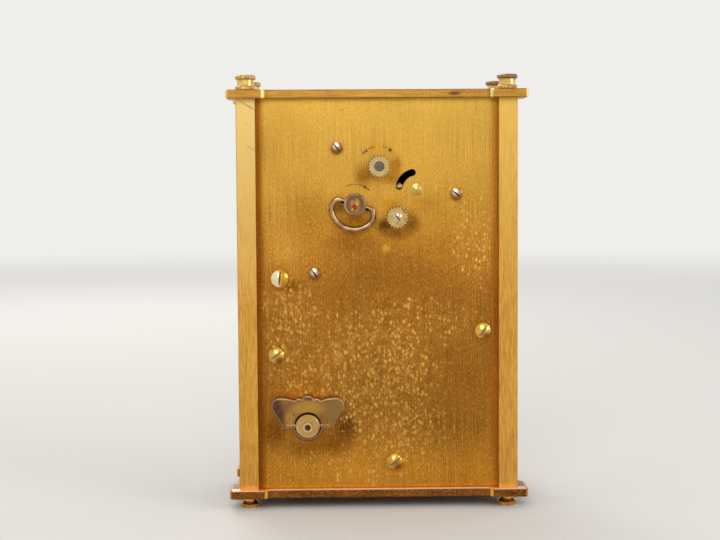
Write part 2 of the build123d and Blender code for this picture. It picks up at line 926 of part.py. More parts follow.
# Depths of the motion work's three layers and of the hands
layer_step = motion_wheel_thickness + motion_wheel_gap
layer_1 = front_plate_front - front_gap - motion_wheel_thickness
layer_2 = layer_1 - layer_step
layer_3 = layer_2 - layer_step
cannon_outer = centre_stud_radius + running_fit + pipe_wall
hour_bore = cannon_outer + running_fit
hour_outer = hour_bore + pipe_wall
alarm_bore = hour_outer + running_fit
alarm_outer = alarm_bore + pipe_wall
alarm_hand_y = dial_front - hand_step
hour_hand_y = alarm_hand_y - hand_step
minute_hand_y = hour_hand_y - hand_step
cannon_end = minute_hand_y - hand_nut_height

# Time movement: plates and pillars
with BuildPart() as rear_movement_plate:
    disc(rear_plane(rear_plate_front, centre_at), movement_radius, movement_plate_thickness)
    for place in small_screws_at:
        disc(rear_plane(rear_plate_back, place), pillar_radius, movement_spacer)
    with BuildSketch(rear_plane(rear_plate_front)) as holes:
        with Locations(*train_at):
            Circle(pivot_hole)
        with Locations(time_knob_at, alarm_knob_at):
            Circle(knob_arbor_radius + running_fit)
        with Locations(winding_at):
            Circle(barrel_arbor_radius + running_fit)
    extrude(holes.sketch, amount=movement_plate_thickness, mode=Mode.SUBTRACT)
    for place in small_screws_at:
        spacer_bore = movement_plate_thickness + movement_spacer
        drill(rear_plane(rear_plate_front, place), small_shank_radius + screw_play, spacer_bore)
    click_pin_length = ratchet_gap + ratchet_thickness + click_pin_over
    disc(rear_plane(rear_plate_back, click_at), click_pin_radius, click_pin_length)
    hairspring_stud_at = ray(balance_at, hairspring_stud_reach, 0)
    disc(rear_plane(hairspring_y, hairspring_stud_at), spring_stud_radius, rear_plate_front - hairspring_y)
save(rear_movement_plate, "rear_movement_plate")

with BuildPart() as front_movement_plate:
    disc(rear_plane(front_plate_front, centre_at), movement_radius, movement_plate_thickness)
    with BuildSketch(rear_plane(front_plate_front)) as holes:
        with Locations(*train_at[1:]):
            Circle(pivot_hole)
        with Locations(second_at):
            Circle(second_front_radius + running_fit)
        with Locations(time_knob_at, alarm_knob_at):
            Circle(knob_arbor_radius + running_fit)
        with Locations(winding_at):
            Circle(barrel_pivot_radius + running_fit)
        with Locations(*small_screws_at):
            Circle(small_shank_radius + screw_play)
    extrude(holes.sketch, amount=movement_plate_thickness, mode=Mode.SUBTRACT)
    setting_stud_length = front_gap + motion_wheel_thickness + stud_over
    disc(rear_plane(front_plate_front, setting_at), setting_stud_radius, -setting_stud_length)
    disc(rear_plane(front_plate_front, centre_at), centre_shoulder_radius, -centre_shoulder_height)
    stud_end = cannon_end + centre_stud_recess
    disc(rear_plane(stud_end, centre_at), centre_stud_radius, front_plate_front - stud_end)
save(front_movement_plate, "front_movement_plate")

with BuildPart() as movement_pillars:
    for place in small_screws_at:
        foot = rear_plane(front_plate_back, place)
        disc(foot, pillar_radius, movement_gap)
        thread_hole = pillar_thread_depth + screw_end_gap
        drill(foot.offset(movement_gap), small_shank_radius + screw_play, -thread_hole)
        drill(foot, small_shank_radius + screw_play, thread_hole)
save(movement_pillars, "movement_pillars")

# Hands and motion work, in three layers in front of the front plate
cannon_phase = 0.0
minute_phase = mesh_phase(cannon_teeth, cannon_phase, centre_at, minute_teeth, second_at)
setting_phase = mesh_phase(cannon_teeth, cannon_phase, centre_at, setting_teeth, setting_at)
set_phase = mesh_phase(setting_teeth, setting_phase, setting_at, set_pinion_teeth, time_knob_at)
hour_phase = mesh_phase(minute_pinion_teeth, 0, second_at, hour_teeth, centre_at)
alarm_phase = mesh_phase(alarm_pinion_teeth, 0, alarm_knob_at, alarm_teeth, centre_at)

with BuildPart() as cannon_pinion:
    cannon_back = layer_1 + motion_wheel_thickness + pinion_overhang
    disc(rear_plane(cannon_end, centre_at), cannon_outer, cannon_back - cannon_end)
    gear(
        rear_plane(layer_1 - pinion_overhang, centre_at),
        cannon_teeth,
        motion_module,
        motion_wheel_thickness + 2 * pinion_overhang,
        phase=cannon_phase,
    )
    drill(rear_plane(cannon_end, centre_at), centre_stud_radius + running_fit, cannon_back - cannon_end)
save(cannon_pinion, "cannon_pinion")

with BuildPart() as minute_wheel:
    bore = second_front_radius + running_fit
    gear(
        rear_plane(layer_1, second_at),
        minute_teeth,
        motion_module,
        motion_wheel_thickness,
        bore,
        minute_phase,
        4,
    )
    gear(
        rear_plane(layer_2 - pinion_overhang, second_at),
        minute_pinion_teeth,
        motion_module,
        layer_1 - layer_2 + pinion_overhang,
        bore,
    )
save(minute_wheel, "minute_wheel")

with BuildPart() as hour_wheel:
    gear(
        rear_plane(layer_2, centre_at),
        hour_teeth,
        motion_module,
        motion_wheel_thickness,
        hour_bore,
        hour_phase,
    )
    disc(rear_plane(hour_hand_y, centre_at), hour_outer, layer_2 - hour_hand_y, hour_bore)
save(hour_wheel, "hour_wheel")

with BuildPart() as alarm_wheel:
    gear(
        rear_plane(layer_3, centre_at),
        alarm_teeth,
        motion_module,
        motion_wheel_thickness,
        alarm_bore,
        alarm_phase,
    )
    disc(rear_plane(alarm_hand_y, centre_at), alarm_outer, layer_3 - alarm_hand_y, alarm_bore)
save(alarm_wheel, "alarm_wheel")

with BuildPart() as setting_wheel:
    gear(
        rear_plane(layer_1, setting_at),
        setting_teeth,
        motion_module,
        motion_wheel_thickness,
        setting_stud_radius + running_fit,
        setting_phase,
        5,
    )
save(setting_wheel, "setting_wheel")


def hand(y, bore, boss, length, half_width, spade, dial_angle):
    """A spade hand; dial_angle is clockwise from twelve as seen from the front."""
    spade_at = length - hand_spade_back * spade
    spade_foot = spade_at + hand_spade_shoulder * spade
    spade_half = hand_spade_half * spade
    tip_half = hand_taper * half_width
    with BuildPart() as piece:
        with BuildSketch(rear_plane(y, centre_at, 90 + dial_angle)) as face:
            Circle(boss)
            Polygon((0, -half_width), (0, half_width), (spade_at, tip_half), (spade_at, -tip_half), align=None)
            with Locations((spade_at, 0)):
                Circle(spade)
            Polygon((spade_foot, -spade_half), (spade_foot, spade_half), (length, 0), align=None)
            Circle(bore, mode=Mode.SUBTRACT)
        extrude(face.sketch, amount=hand_thickness)
    return piece


alarm_hand = hand(
    alarm_hand_y,
    alarm_outer + push_fit,
    alarm_hand_boss,
    alarm_hand_length,
    alarm_hand_half,
    alarm_hand_spade,
    alarm_hand_dial_angle,
)
save(alarm_hand, "alarm_hand")
hour_hand = hand(
    hour_hand_y,
    hour_outer + push_fit,
    hour_hand_boss,
    hour_hand_length,
    hour_hand_half,
    hour_hand_spade,
    hour_hand_dial_angle,
)
save(hour_hand, "hour_hand")
minute_hand = hand(
    minute_hand_y,
    cannon_outer + push_fit,
    minute_hand_boss,
    minute_hand_length,
    minute_hand_half,
    minute_hand_spade,
    minute_hand_dial_angle,
)
save(minute_hand, "minute_hand")

with BuildPart() as hand_nut:
    with BuildSketch(rear_plane(cannon_end, centre_at)) as face:
        RegularPolygon(hand_nut_radius, 6)
        Circle(cannon_outer + push_fit, mode=Mode.SUBTRACT)
    extrude(face.sketch, amount=hand_nut_height)
save(hand_nut, "hand_nut")

# Knobs that set the time and the alarm
time_knob_foot = panel_back + time_knob_gap
pinion_height = motion_wheel_thickness + 2 * pinion_overhang
with BuildPart() as time_set_arbor:
    arbor_front = layer_1 - knob_arbor_over
    disc(rear_plane(arbor_front, time_knob_at), knob_arbor_radius, time_knob_foot - arbor_front)
    core_length = time_knob_length - time_core_recess
    disc(rear_plane(time_knob_foot, time_knob_at), time_core_radius, core_length)
    gear(
        rear_plane(layer_1 - pinion_overhang, time_knob_at),
        set_pinion_teeth,
        motion_module,
        pinion_height,
        phase=set_phase,
    )
save(time_set_arbor, "time_set_arbor")

with BuildPart() as time_set_knob:
    knob_plane = rear_plane(time_knob_foot, time_knob_at)
    knurled(knob_plane, time_knob_radius, time_knob_length, time_core_radius + push_fit)
save(time_set_knob, "time_set_knob")

alarm_knob_foot = panel_back + alarm_knob_gap
with BuildPart() as alarm_set_arbor:
    arbor_front = layer_3 - knob_arbor_over
    arbor_back = alarm_knob_foot + alarm_knob_length - alarm_knob_face
    disc(rear_plane(arbor_front, alarm_knob_at), knob_arbor_radius, arbor_back - arbor_front)
    gear(
        rear_plane(layer_3 - pinion_overhang, alarm_knob_at),
        alarm_pinion_teeth,
        motion_module,
        pinion_height,
    )
    alarm_thread_hole = alarm_screw_length - alarm_knob_face + alarm_knob_dish + screw_end_gap
    drill(rear_plane(arbor_back, alarm_knob_at), alarm_thread_radius + running_fit, -alarm_thread_hole)
save(alarm_set_arbor, "alarm_set_arbor")

with BuildPart() as alarm_set_knob:
    knob_plane = rear_plane(alarm_knob_foot, alarm_knob_at)
    knurled(knob_plane, alarm_knob_radius, alarm_knob_length, alarm_thread_radius + running_fit)
    drill(knob_plane, knob_arbor_radius + push_fit, alarm_knob_length - alarm_knob_face)
    dish = knob_plane.offset(alarm_knob_length)
    drill(dish, alarm_knob_radius - alarm_knob_rim, -alarm_knob_dish)
save(alarm_set_knob, "alarm_set_knob")

with BuildPart() as alarm_knob_screw:
    seat = rear_plane(alarm_knob_foot + alarm_knob_length - alarm_knob_dish, alarm_knob_at)
    slotted_head(
        seat,
        alarm_screw_radius,
        alarm_screw_height,
        alarm_screw_crown,
        alarm_screw_slot_width,
        alarm_screw_slot_depth,
        alarm_screw_slot,
    )
    disc(seat, alarm_thread_radius, -alarm_screw_length)
save(alarm_knob_screw, "alarm_knob_screw")

# Winding: barrel arbor, ratchet wheel, click, key hub and folding ring
barrel_front = front_plate_back + barrel_height
barrel_length = movement_gap - barrel_height - barrel_end_room
barrel_back = barrel_front + barrel_length
barrel_radius = pitch_radius(great_teeth, great_module) - tooth_dedendum * great_module - barrel_step
barrel_inner_radius = barrel_radius - barrel_wall
core_front = barrel_front + great_thickness + core_play
core_back = barrel_back - cap_thickness - core_play
hub_foot = panel_back + hub_gap
with BuildPart() as barrel_arbor:
    disc(rear_plane(front_plate_front, winding_at), barrel_pivot_radius, movement_plate_thickness)
    arbor_end = hub_foot + hub_bore_depth
    disc(rear_plane(front_plate_back, winding_at), barrel_arbor_radius, arbor_end - front_plate_back)
    disc(rear_plane(core_front, winding_at), barrel_core_radius, core_back - core_front)
save(barrel_arbor, "barrel_arbor")

with BuildPart() as ratchet_wheel:
    with BuildSketch(rear_plane(ratchet_y, winding_at)) as face:
        saw = []
        for tooth in range(ratchet_teeth):
            angle = click_tip_direction - click_tip_lead + tooth * 360 / ratchet_teeth
            saw.append(ray((0, 0), ratchet_radius, angle))
            saw.append(ray((0, 0), ratchet_root_radius, angle))
        Polygon(*saw, align=None)
        Circle(barrel_arbor_radius + push_fit, mode=Mode.SUBTRACT)
    extrude(face.sketch, amount=ratchet_thickness)
save(ratchet_wheel, "ratchet_wheel")

with BuildPart() as click:
    with BuildSketch(rear_plane(ratchet_y)) as face:
        with Locations(click_at):
            Circle(click_boss_radius)
        tip = ray(winding_at, ratchet_radius + click_tip_gap, click_tip_direction)
        Polygon(tip, ray(click_at, *click_arm_inner), ray(click_at, *click_arm_outer), align=None)
        with Locations(click_at):
            Circle(click_pin_radius + running_fit, mode=Mode.SUBTRACT)
    extrude(face.sketch, amount=ratchet_thickness)
save(click, "click")

with BuildPart() as winding_key_hub:
    hub_plane = rear_plane(hub_foot, winding_at)
    turned(
        hub_plane,
        [
            (hub_radius - hub_foot_edge, 0),
            (hub_radius, hub_foot_edge),
            (hub_radius, hub_length - hub_top_edge),
            (hub_radius - hub_top_edge, hub_length),
        ],
    )
    drill(hub_plane, barrel_arbor_radius + push_fit, hub_bore_depth)
    ring_plane = rear_plane(panel_back + ring_axis_height, winding_at, ring_axis_tilt)
    with BuildSketch(Plane(origin=ring_plane.origin, z_dir=ring_plane.x_dir)) as bore:
        Circle(ring_wire_radius + running_fit)
    extrude(bore.sketch, amount=hub_radius, both=True, mode=Mode.SUBTRACT)
save(winding_key_hub, "winding_key_hub")

with BuildPart() as winding_key_ring:
    corner_run = ring_corner_radius * sin(radians(ring_corner_turn))
    corner_drop = ring_corner_radius * (1 - cos(radians(ring_corner_turn)))
    shoulder_x = ring_half_width - ring_shoulder_radius * (1 - sin(radians(ring_corner_turn)))
    bar_end = shoulder_x - corner_run
    widest_z = -corner_drop - ring_shoulder_radius * cos(radians(ring_corner_turn))
    side_offset = ring_half_width - ring_side_radius
    below = ring_depth + widest_z
    bottom_radius = (side_offset**2 + below**2 - ring_side_radius**2) / (2 * (below - ring_side_radius))
    bottom_centre = bottom_radius - ring_depth
    run = widest_z - bottom_centre
    scale = bottom_radius / hypot(side_offset, run)
    joint = (side_offset * scale, bottom_centre + run * scale)
    right = [
        (bar_end, 0),
        (shoulder_x, -corner_drop),
        (ring_half_width, widest_z),
        joint,
    ]
    left = [(-x, z) for x, z in right]
    with BuildLine(ring_plane) as route:
        Line((ring_pin_end, 0), right[0])
        RadiusArc(right[0], right[1], ring_corner_radius)
        RadiusArc(right[1], right[2], ring_shoulder_radius)
        RadiusArc(right[2], right[3], ring_side_radius)
        RadiusArc(right[3], left[3], bottom_radius)
        RadiusArc(left[3], left[2], ring_side_radius)
        RadiusArc(left[2], left[1], ring_shoulder_radius)
        RadiusArc(left[1], left[0], ring_corner_radius)
        Line(left[0], (-ring_pin_end, 0))
    start = route.wires()[0]
    with BuildSketch(Plane(origin=start @ 0, z_dir=start % 0)) as wire_section:
        Circle(ring_wire_radius)
    sweep(wire_section.sketch, path=start)
save(winding_key_ring, "winding_key_ring")

# Mainspring barrel
mainspring_start = barrel_core_radius + spring_play + mainspring_strip / 2
mainspring_room = barrel_inner_radius - spring_play - mainspring_strip / 2 - mainspring_start
mainspring_pitch = mainspring_room / mainspring_turns
with BuildPart() as barrel:
    gear(
        rear_plane(barrel_front, winding_at),
        great_teeth,
        great_module,
        great_thickness,
        barrel_arbor_radius + running_fit,
    )
    disc(
        rear_plane(barrel_front + great_thickness, winding_at),
        barrel_radius,
        barrel_length - great_thickness,
        barrel_inner_radius,
    )
save(barrel, "barrel")

with BuildPart() as barrel_cap:
    disc(
        rear_plane(barrel_back - cap_thickness, winding_at),
        barrel_inner_radius - push_fit,
        cap_thickness,
        barrel_arbor_radius + running_fit,
    )
save(barrel_cap, "barrel_cap")

with BuildPart() as mainspring:
    with BuildSketch(rear_plane(core_front, winding_at)) as strip:
        spiral_outline(mainspring_start, mainspring_pitch, mainspring_turns, mainspring_strip)
    extrude(strip.sketch, amount=core_back - core_front)
save(mainspring, "mainspring")
print(
    "mainspring gap to itself",
    round(spiral_gap(mainspring_start, mainspring_pitch, mainspring_turns, mainspring_strip), 3),
)


def arbor(at, front, radius):
    """Add an arbor between the movement plates, with a thin pivot at each end."""
    disc(rear_plane(front, at), pivot_radius, rear_plate_back - front)
    disc(rear_plane(front_plate_back + end_shake, at), radius, movement_gap - 2 * end_shake)


# Going train
second_wheel_y = front_plate_back + second_wheel_height
third_wheel_y = front_plate_back + third_wheel_height
escape_wheel_y = front_plate_back + escape_wheel_height
train_pinion_height = train_thickness + 2 * pinion_overhang
with BuildPart() as second_wheel:
    arbor(second_at, front_plate_back, second_arbor_radius)
    stub_front = layer_2 - stud_over
    stub_back = front_plate_back + end_shake
    disc(rear_plane(stub_front, second_at), second_front_radius, stub_back - stub_front)
    gear(rear_plane(second_wheel_y, second_at), second_teeth, second_module, train_thickness, windows=4)
    gear(
        rear_plane(barrel_front - pinion_overhang, second_at),
        second_pinion_teeth,
        great_module,
        great_thickness + 2 * pinion_overhang,
        phase=mesh_phase(great_teeth, 0, winding_at, second_pinion_teeth, second_at),
    )
save(second_wheel, "second_wheel")

with BuildPart() as third_wheel:
    arbor(third_at, front_plate_front, third_arbor_radius)
    gear(rear_plane(third_wheel_y, third_at), third_teeth, third_module, train_thickness, windows=4)
    gear(
        rear_plane(second_wheel_y - pinion_overhang, third_at),
        third_pinion_teeth,
        second_module,
        train_pinion_height,
        phase=mesh_phase(second_teeth, 0, second_at, third_pinion_teeth, third_at),
    )
save(third_wheel, "third_wheel")

with BuildPart() as escape_wheel:
    arbor(escape_at, front_plate_front, escape_arbor_radius)
    gear(
        rear_plane(third_wheel_y - pinion_overhang, escape_at),
        escape_pinion_teeth,
        third_module,
        train_pinion_height,
        phase=mesh_phase(third_teeth, 0, third_at, escape_pinion_teeth, escape_at),
    )
    with BuildSketch(rear_plane(escape_wheel_y, escape_at)) as face:
        hooks = []
        for tooth in range(escape_teeth):
            angle = tooth * 360 / escape_teeth
            hooks.append(ray((0, 0), escape_radius, angle))
            hooks.append(ray((0, 0), escape_root_radius, angle + escape_hook_lean))
            hooks.append(ray((0, 0), escape_root_radius, angle + escape_back_lean))
        Polygon(*hooks, align=None)
        with BuildSketch(mode=Mode.PRIVATE) as web:
            Circle(escape_web_radius)
            Circle(escape_boss_radius, mode=Mode.SUBTRACT)
            with PolarLocations(0, 4):
                Rectangle(escape_radius, escape_arm, align=(Align.MIN, Align.CENTER), mode=Mode.SUBTRACT)
        add(web.sketch, mode=Mode.SUBTRACT)
    extrude(face.sketch, amount=escape_thickness)
save(escape_wheel, "escape_wheel")

# Escapement and balance
pallet_pin_reach = escape_radius + pallet_pin_radius + pallet_pin_gap
pallet_y = escape_wheel_y + escape_thickness + pallet_gap
pallet_side = bearing_of(escape_at, pallet_at)
with BuildPart() as pallet_fork:
    arbor(pallet_at, front_plate_front, pallet_arbor_radius)
    pins = [ray(escape_at, pallet_pin_reach, pallet_side + side * pallet_pin_spread) for side in (-1, 1)]
    fork_line = bearing_of(pallet_at, balance_at)
    fork_end = ray(pallet_at, fork_reach, fork_line)
    with BuildSketch(rear_plane(pallet_y)) as face:
        for end, end_half in ((pins[0], pallet_arm_tip), (pins[1], pallet_arm_tip), (fork_end, fork_half_width)):
            toward = bearing_of(pallet_at, end)
            Polygon(
                ray(pallet_at, pallet_arm_half, toward - 90),
                ray(pallet_at, pallet_arm_half, toward + 90),
                ray(end, end_half, toward + 90),
                ray(end, end_half, toward - 90),
                align=None,
            )
        with Locations(*pins):
            Circle(pallet_pin_boss)
        with Locations(fork_end):
            Rectangle(2 * fork_slot_length, fork_slot_width, rotation=fork_line, mode=Mode.SUBTRACT)
    extrude(face.sketch, amount=pallet_thickness)
    pin_front = escape_wheel_y - pinion_overhang
    for pin in pins:
        disc(rear_plane(pin_front, pin), pallet_pin_radius, pallet_y - pin_front)
save(pallet_fork, "pallet_fork")

collet_radius = hairspring_start - hairspring_strip / 2 - running_fit
with BuildPart() as balance_wheel:
    arbor(balance_at, front_plate_front, balance_arbor_radius)
    with BuildSketch(rear_plane(balance_y, balance_at)) as face:
        Circle(balance_radius)
        Circle(balance_radius - balance_rim, mode=Mode.SUBTRACT)
        Circle(balance_boss_radius)
        Rectangle(2 * balance_radius - balance_rim, balance_arm)
    extrude(face.sketch, amount=balance_thickness)
    collet_height = hairspring_gap + hairspring_width + collet_over
    disc(rear_plane(balance_y + balance_thickness, balance_at), collet_radius, collet_height)
    roller_back = pallet_y - roller_gap
    disc(rear_plane(roller_back, balance_at), roller_radius, -roller_thickness)
    impulse_at = ray(balance_at, roller_pin_reach, bearing_of(balance_at, pallet_at))
    impulse_length = roller_gap + pallet_thickness + 2 * pinion_overhang
    disc(rear_plane(roller_back - pinion_overhang, impulse_at), roller_pin_radius, impulse_length)
save(balance_wheel, "balance_wheel")

with BuildPart() as hairspring:
    with BuildSketch(rear_plane(hairspring_y, balance_at)) as strip:
        spiral_outline(hairspring_start, hairspring_pitch, hairspring_turns, hairspring_strip)
    extrude(strip.sketch, amount=hairspring_width)
save(hairspring, "hairspring")
print(
    "hairspring gap to itself",
    round(spiral_gap(hairspring_start, hairspring_pitch, hairspring_turns, hairspring_strip), 3),
)

# Alarm lever: a stud turns in the panel, and a pin on its arm shows in the curved slot
lever_arm_y = panel_front - lever_arm_gap - lever_arm_thickness
lever_through = lever_arm_gap + panel_thickness
with BuildPart() as alarm_lever:
    with BuildSketch(rear_plane(lever_arm_y, lever_at)) as face:
        Circle(lever_boss_radius)
        with Locations(ray((0, 0), lever_pin_reach, lever_slot_start)):
            Circle(lever_end_radius)
        Polygon(
            ray((0, 0), lever_boss_radius, lever_slot_start + 90),
            ray((0, 0), lever_boss_radius, lever_slot_start - 90),
            ray((0, 0), lever_pin_reach, lever_slot_start - lever_arm_spread),
            ray((0, 0), lever_pin_reach, lever_slot_start + lever_arm_spread),
            align=None,
        )
    extrude(face.sketch, amount=lever_arm_thickness)
    pin_at = ray(lever_at, lever_pin_reach, lever_slot_start)
    turned(
        rear_plane(lever_arm_y + lever_arm_thickness, pin_at),
        [
            (lever_pin_radius, 0),
            (lever_pin_radius, lever_through + lever_pin_height - lever_pin_dome),
            (lever_pin_tip_radius, lever_through + lever_pin_height),
        ],
    )
    turned(
        rear_plane(lever_arm_y + lever_arm_thickness, lever_at),
        [
            (lever_pin_radius, 0),
            (lever_pin_radius, lever_through + lever_stud_gap),
            (lever_stud_radius, lever_through + lever_stud_gap),
            (lever_stud_radius, lever_through + lever_stud_gap + lever_stud_edge),
            (lever_stud_tip_radius, lever_through + lever_stud_height),
        ],
    )
save(alarm_lever, "alarm_lever")

# Bracket that the tall screw holds inside the panel
with BuildPart() as stop_bracket:
    with BuildSketch(rear_plane(panel_front - bracket_thickness, tall_screw_at)) as face:
        Circle(bracket_width / 2)
        Rectangle(bracket_width, bracket_drop, align=(Align.CENTER, Align.MAX))
        Circle(large_shank_radius + screw_play, mode=Mode.SUBTRACT)
    extrude(face.sketch, amount=bracket_thickness)
    with BuildSketch(rear_plane(panel_front - bracket_lip, tall_screw_at)) as lip:
        with Locations((0, -bracket_drop)):
            Rectangle(bracket_width, bracket_thickness, align=(Align.CENTER, Align.MIN))
    extrude(lip.sketch, amount=bracket_lip - bracket_thickness)
save(stop_bracket, "stop_bracket")

# Music movement: spring drum with a crown of teeth, its spring and arbor
bed_front = panel_front - bed_thickness
drum_back = bed_front - drum_gap
drum_front = drum_back - drum_length
crown_base = drum_front + crown_tooth_height
crown_reach = pitch_radius(crown_teeth, crown_module)
drum_inner_radius = drum_radius - drum_wall
with BuildPart() as music_spring_drum:
    drum_plane = rear_plane(crown_base, music_key_at)
    disc(drum_plane, drum_radius, drum_back - crown_base, music_stud_radius + running_fit)
    drill(drum_plane.offset(drum_web), drum_inner_radius, drum_back - crown_base - drum_web)
    with BuildSketch(drum_plane) as crown:
        with PolarLocations(crown_reach, crown_teeth, start_angle=180 / crown_teeth):
            Rectangle(crown_tooth_length, crown_tooth_width)
    extrude(crown.sketch, amount=-crown_tooth_height, taper=crown_taper)
save(music_spring_drum, "music_spring_drum")

music_start = music_core_radius + spring_play + music_strip / 2
music_pitch = (drum_inner_radius - spring_play - music_strip / 2 - music_start) / music_turns
music_room_front = crown_base + drum_web + core_play
music_room_back = drum_back - cap_thickness - core_play
with BuildPart() as music_mainspring:
    with BuildSketch(rear_plane(music_room_front, music_key_at)) as strip:
        spiral_outline(music_start, music_pitch, music_turns, music_strip)
    extrude(strip.sketch, amount=music_room_back - music_room_front)
save(music_mainspring, "music_mainspring")
print(
    "music mainspring gap to itself",
    round(spiral_gap(music_start, music_pitch, music_turns, music_strip), 3),
)

with BuildPart() as music_spring_arbor:
    arbor_front = drum_front - music_arbor_over
    arbor_length = panel_back + music_stud_height - arbor_front
    disc(rear_plane(arbor_front, music_key_at), music_stud_radius, arbor_length)
    core_length = music_room_back - music_room_front
    disc(rear_plane(music_room_front, music_key_at), music_core_radius, core_length)
    with BuildSketch(rear_plane(panel_back + music_stud_height, music_key_at)) as dimple:
        Circle(music_dimple_radius)
    extrude(dimple.sketch, amount=-music_dimple_depth, taper=music_dimple_taper, mode=Mode.SUBTRACT)
save(music_spring_arbor, "music_spring_arbor")

# Music key: a flanged hub on the arbor's stud, and a stamped wing that folds out on two pins
flange_foot = panel_back + music_flange_gap
hub_rise = music_hub_height - music_flange_gap
wing_axis_y = panel_back + wing_gap + wing_thickness / 2
with BuildPart() as music_key_hub:
    turned(
        rear_plane(flange_foot, music_key_at),
        [
            (music_flange_radius, 0),
            (music_flange_radius, music_flange_thickness - music_flange_edge),
            (music_flange_radius - music_flange_edge, music_flange_thickness),
            (music_hub_radius, music_flange_thickness),
            (music_hub_radius, hub_rise - music_hub_edge),
            (music_hub_radius - music_hub_edge, hub_rise),
        ],
    )
    drill(rear_plane(flange_foot, music_key_at), music_stud_radius + push_fit, hub_rise)
    with BuildSketch(side_plane(-music_key_at[0], wing_axis_y, music_key_at[1])) as bore:
        Circle(wing_pin_radius + running_fit)
    extrude(bore.sketch, amount=music_flange_radius, both=True, mode=Mode.SUBTRACT)
save(music_key_hub, "music_key_hub")

with BuildPart() as music_key_wing:
    with BuildSketch(rear_plane(panel_back + wing_gap, music_key_at)) as face:
        with BuildLine() as outline:
            foot = Polyline((0, wing_foot[1]), wing_foot, wing_side)
            corner = TangentArc(foot @ 1, wing_crown, tangent=foot % 1)
            lobe = TangentArc(corner @ 1, wing_cusp, tangent=corner % 1)
            bump = ThreePointArc(lobe @ 1, wing_bump, wing_inner_cusp)
            ThreePointArc(bump @ 1, wing_peak_side, wing_peak)
            mirror(about=Plane.YZ)
        make_face(outline.edges())
        Circle(wing_arch_radius, mode=Mode.SUBTRACT)
        opening = 2 * wing_arch_radius
        Rectangle(opening, opening, align=(Align.CENTER, Align.MAX), mode=Mode.SUBTRACT)
    extrude(face.sketch, amount=wing_thickness)
    for side in (-1, 1):
        pin_foot = -music_key_at[0] + side * (music_stud_radius + push_fit + wing_pin_end_gap)
        with BuildSketch(side_plane(pin_foot, wing_axis_y, music_key_at[1])) as pin_section:
            Circle(wing_pin_radius)
        extrude(pin_section.sketch, amount=side * wing_pin_length)
save(music_key_wing, "music_key_wing")

# Pinned cylinder, turned by the drum's crown, and the governor that it drives
cylinder_y = drum_front + crown_depth - pitch_radius(cylinder_pinion_teeth, crown_module)
cylinder_z = music_key_at[1]
pinion_x = -music_key_at[0] - crown_reach - crown_tooth_length / 2
cylinder_left = -(bed_half_width - cylinder_side_room)
cylinder_right = pinion_x - 2 * bridge_gap - bridge_thickness
cylinder_gear_x = cylinder_left - cylinder_gear_gap - music_wheel_thickness
inner_bridge_x = cylinder_gear_x - bridge_gear_gap - bridge_thickness
outer_bridge_x = inner_bridge_x - cage_room - cage_wall_thickness
right_bridge_x = cylinder_right + bridge_gap
governor_reach = pitch_radius(cylinder_gear_teeth + governor_pinion_teeth, governor_module)
fly_reach = pitch_radius(governor_teeth + fly_pinion_teeth, governor_module)
cylinder_place = (cylinder_y, cylinder_z)
governor_place = (cylinder_y, cylinder_z - governor_reach)
fly_place = (cylinder_y + fly_reach, cylinder_z - governor_reach)
with BuildPart() as music_cylinder:
    cylinder_plane = side_plane(cylinder_left, *cylinder_place)
    disc(cylinder_plane, cylinder_radius, cylinder_right - cylinder_left)
    arbor_start = inner_bridge_x - arbor_overhang
    arbor_end = pinion_x + crown_tooth_length + cylinder_arbor_over
    disc(side_plane(arbor_start, *cylinder_place), cylinder_arbor_radius, arbor_end - arbor_start)
    gear(
        side_plane(cylinder_gear_x, *cylinder_place),
        cylinder_gear_teeth,
        governor_module,
        music_wheel_thickness,
    )
    gear(
        side_plane(pinion_x, *cylinder_place),
        cylinder_pinion_teeth,
        crown_module,
        crown_tooth_length,
    )
save(music_cylinder, "music_cylinder")

governor_start = outer_bridge_x + cage_end_shake
with BuildPart() as governor_wheel:
    governor_end = cylinder_gear_x + music_wheel_thickness + pinion_overhang
    disc(
        side_plane(governor_start, *governor_place),
        governor_arbor_radius,
        governor_end - governor_start,
    )
    gear(
        side_plane(cylinder_gear_x - pinion_overhang, *governor_place),
        governor_pinion_teeth,
        governor_module,
        music_wheel_thickness + 2 * pinion_overhang,
        phase=mesh_phase(cylinder_gear_teeth, 0, cylinder_place, governor_pinion_teeth, governor_place),
    )
    governor_gear_x = outer_bridge_x + cage_wall_thickness + governor_wheel_gap
    gear(
        side_plane(governor_gear_x, *governor_place),
        governor_teeth,
        governor_module,
        governor_wheel_thickness,
    )
save(governor_wheel, "governor_wheel")

with BuildPart() as governor_fly:
    blade_start = cylinder_gear_x + fly_blade_offset
    fly_end = blade_start + fly_blade_length + fly_arbor_over
    disc(side_plane(governor_start, *fly_place), fly_arbor_radius, fly_end - governor_start)
    gear(
        side_plane(governor_gear_x - pinion_overhang, *fly_place),
        fly_pinion_teeth,
        governor_module,
        governor_wheel_thickness + 2 * pinion_overhang,
        phase=mesh_phase(governor_teeth, 0, governor_place, fly_pinion_teeth, fly_place),
    )
    with BuildSketch(side_plane(blade_start, *fly_place)) as blade:
        Rectangle(2 * fly_radius, fly_blade_thickness)
    extrude(blade.sketch, amount=fly_blade_length)
save(governor_fly, "governor_fly")


def wall(x, thickness, low, high, holes):
    """Add a bearing wall across X that stands on the bed plate."""
    bridge_front = cylinder_y - bridge_front_room
    with BuildSketch(side_plane(x, bed_front, 0)) as section:
        with Locations(((bridge_front - bed_front) / 2, (low + high) / 2)):
            RectangleRounded(bed_front - bridge_front, high - low, bridge_corner)
    extrude(section.sketch, amount=thickness)
    for place, radius in holes:
        drill(side_plane(x, *place), radius + running_fit, thickness)


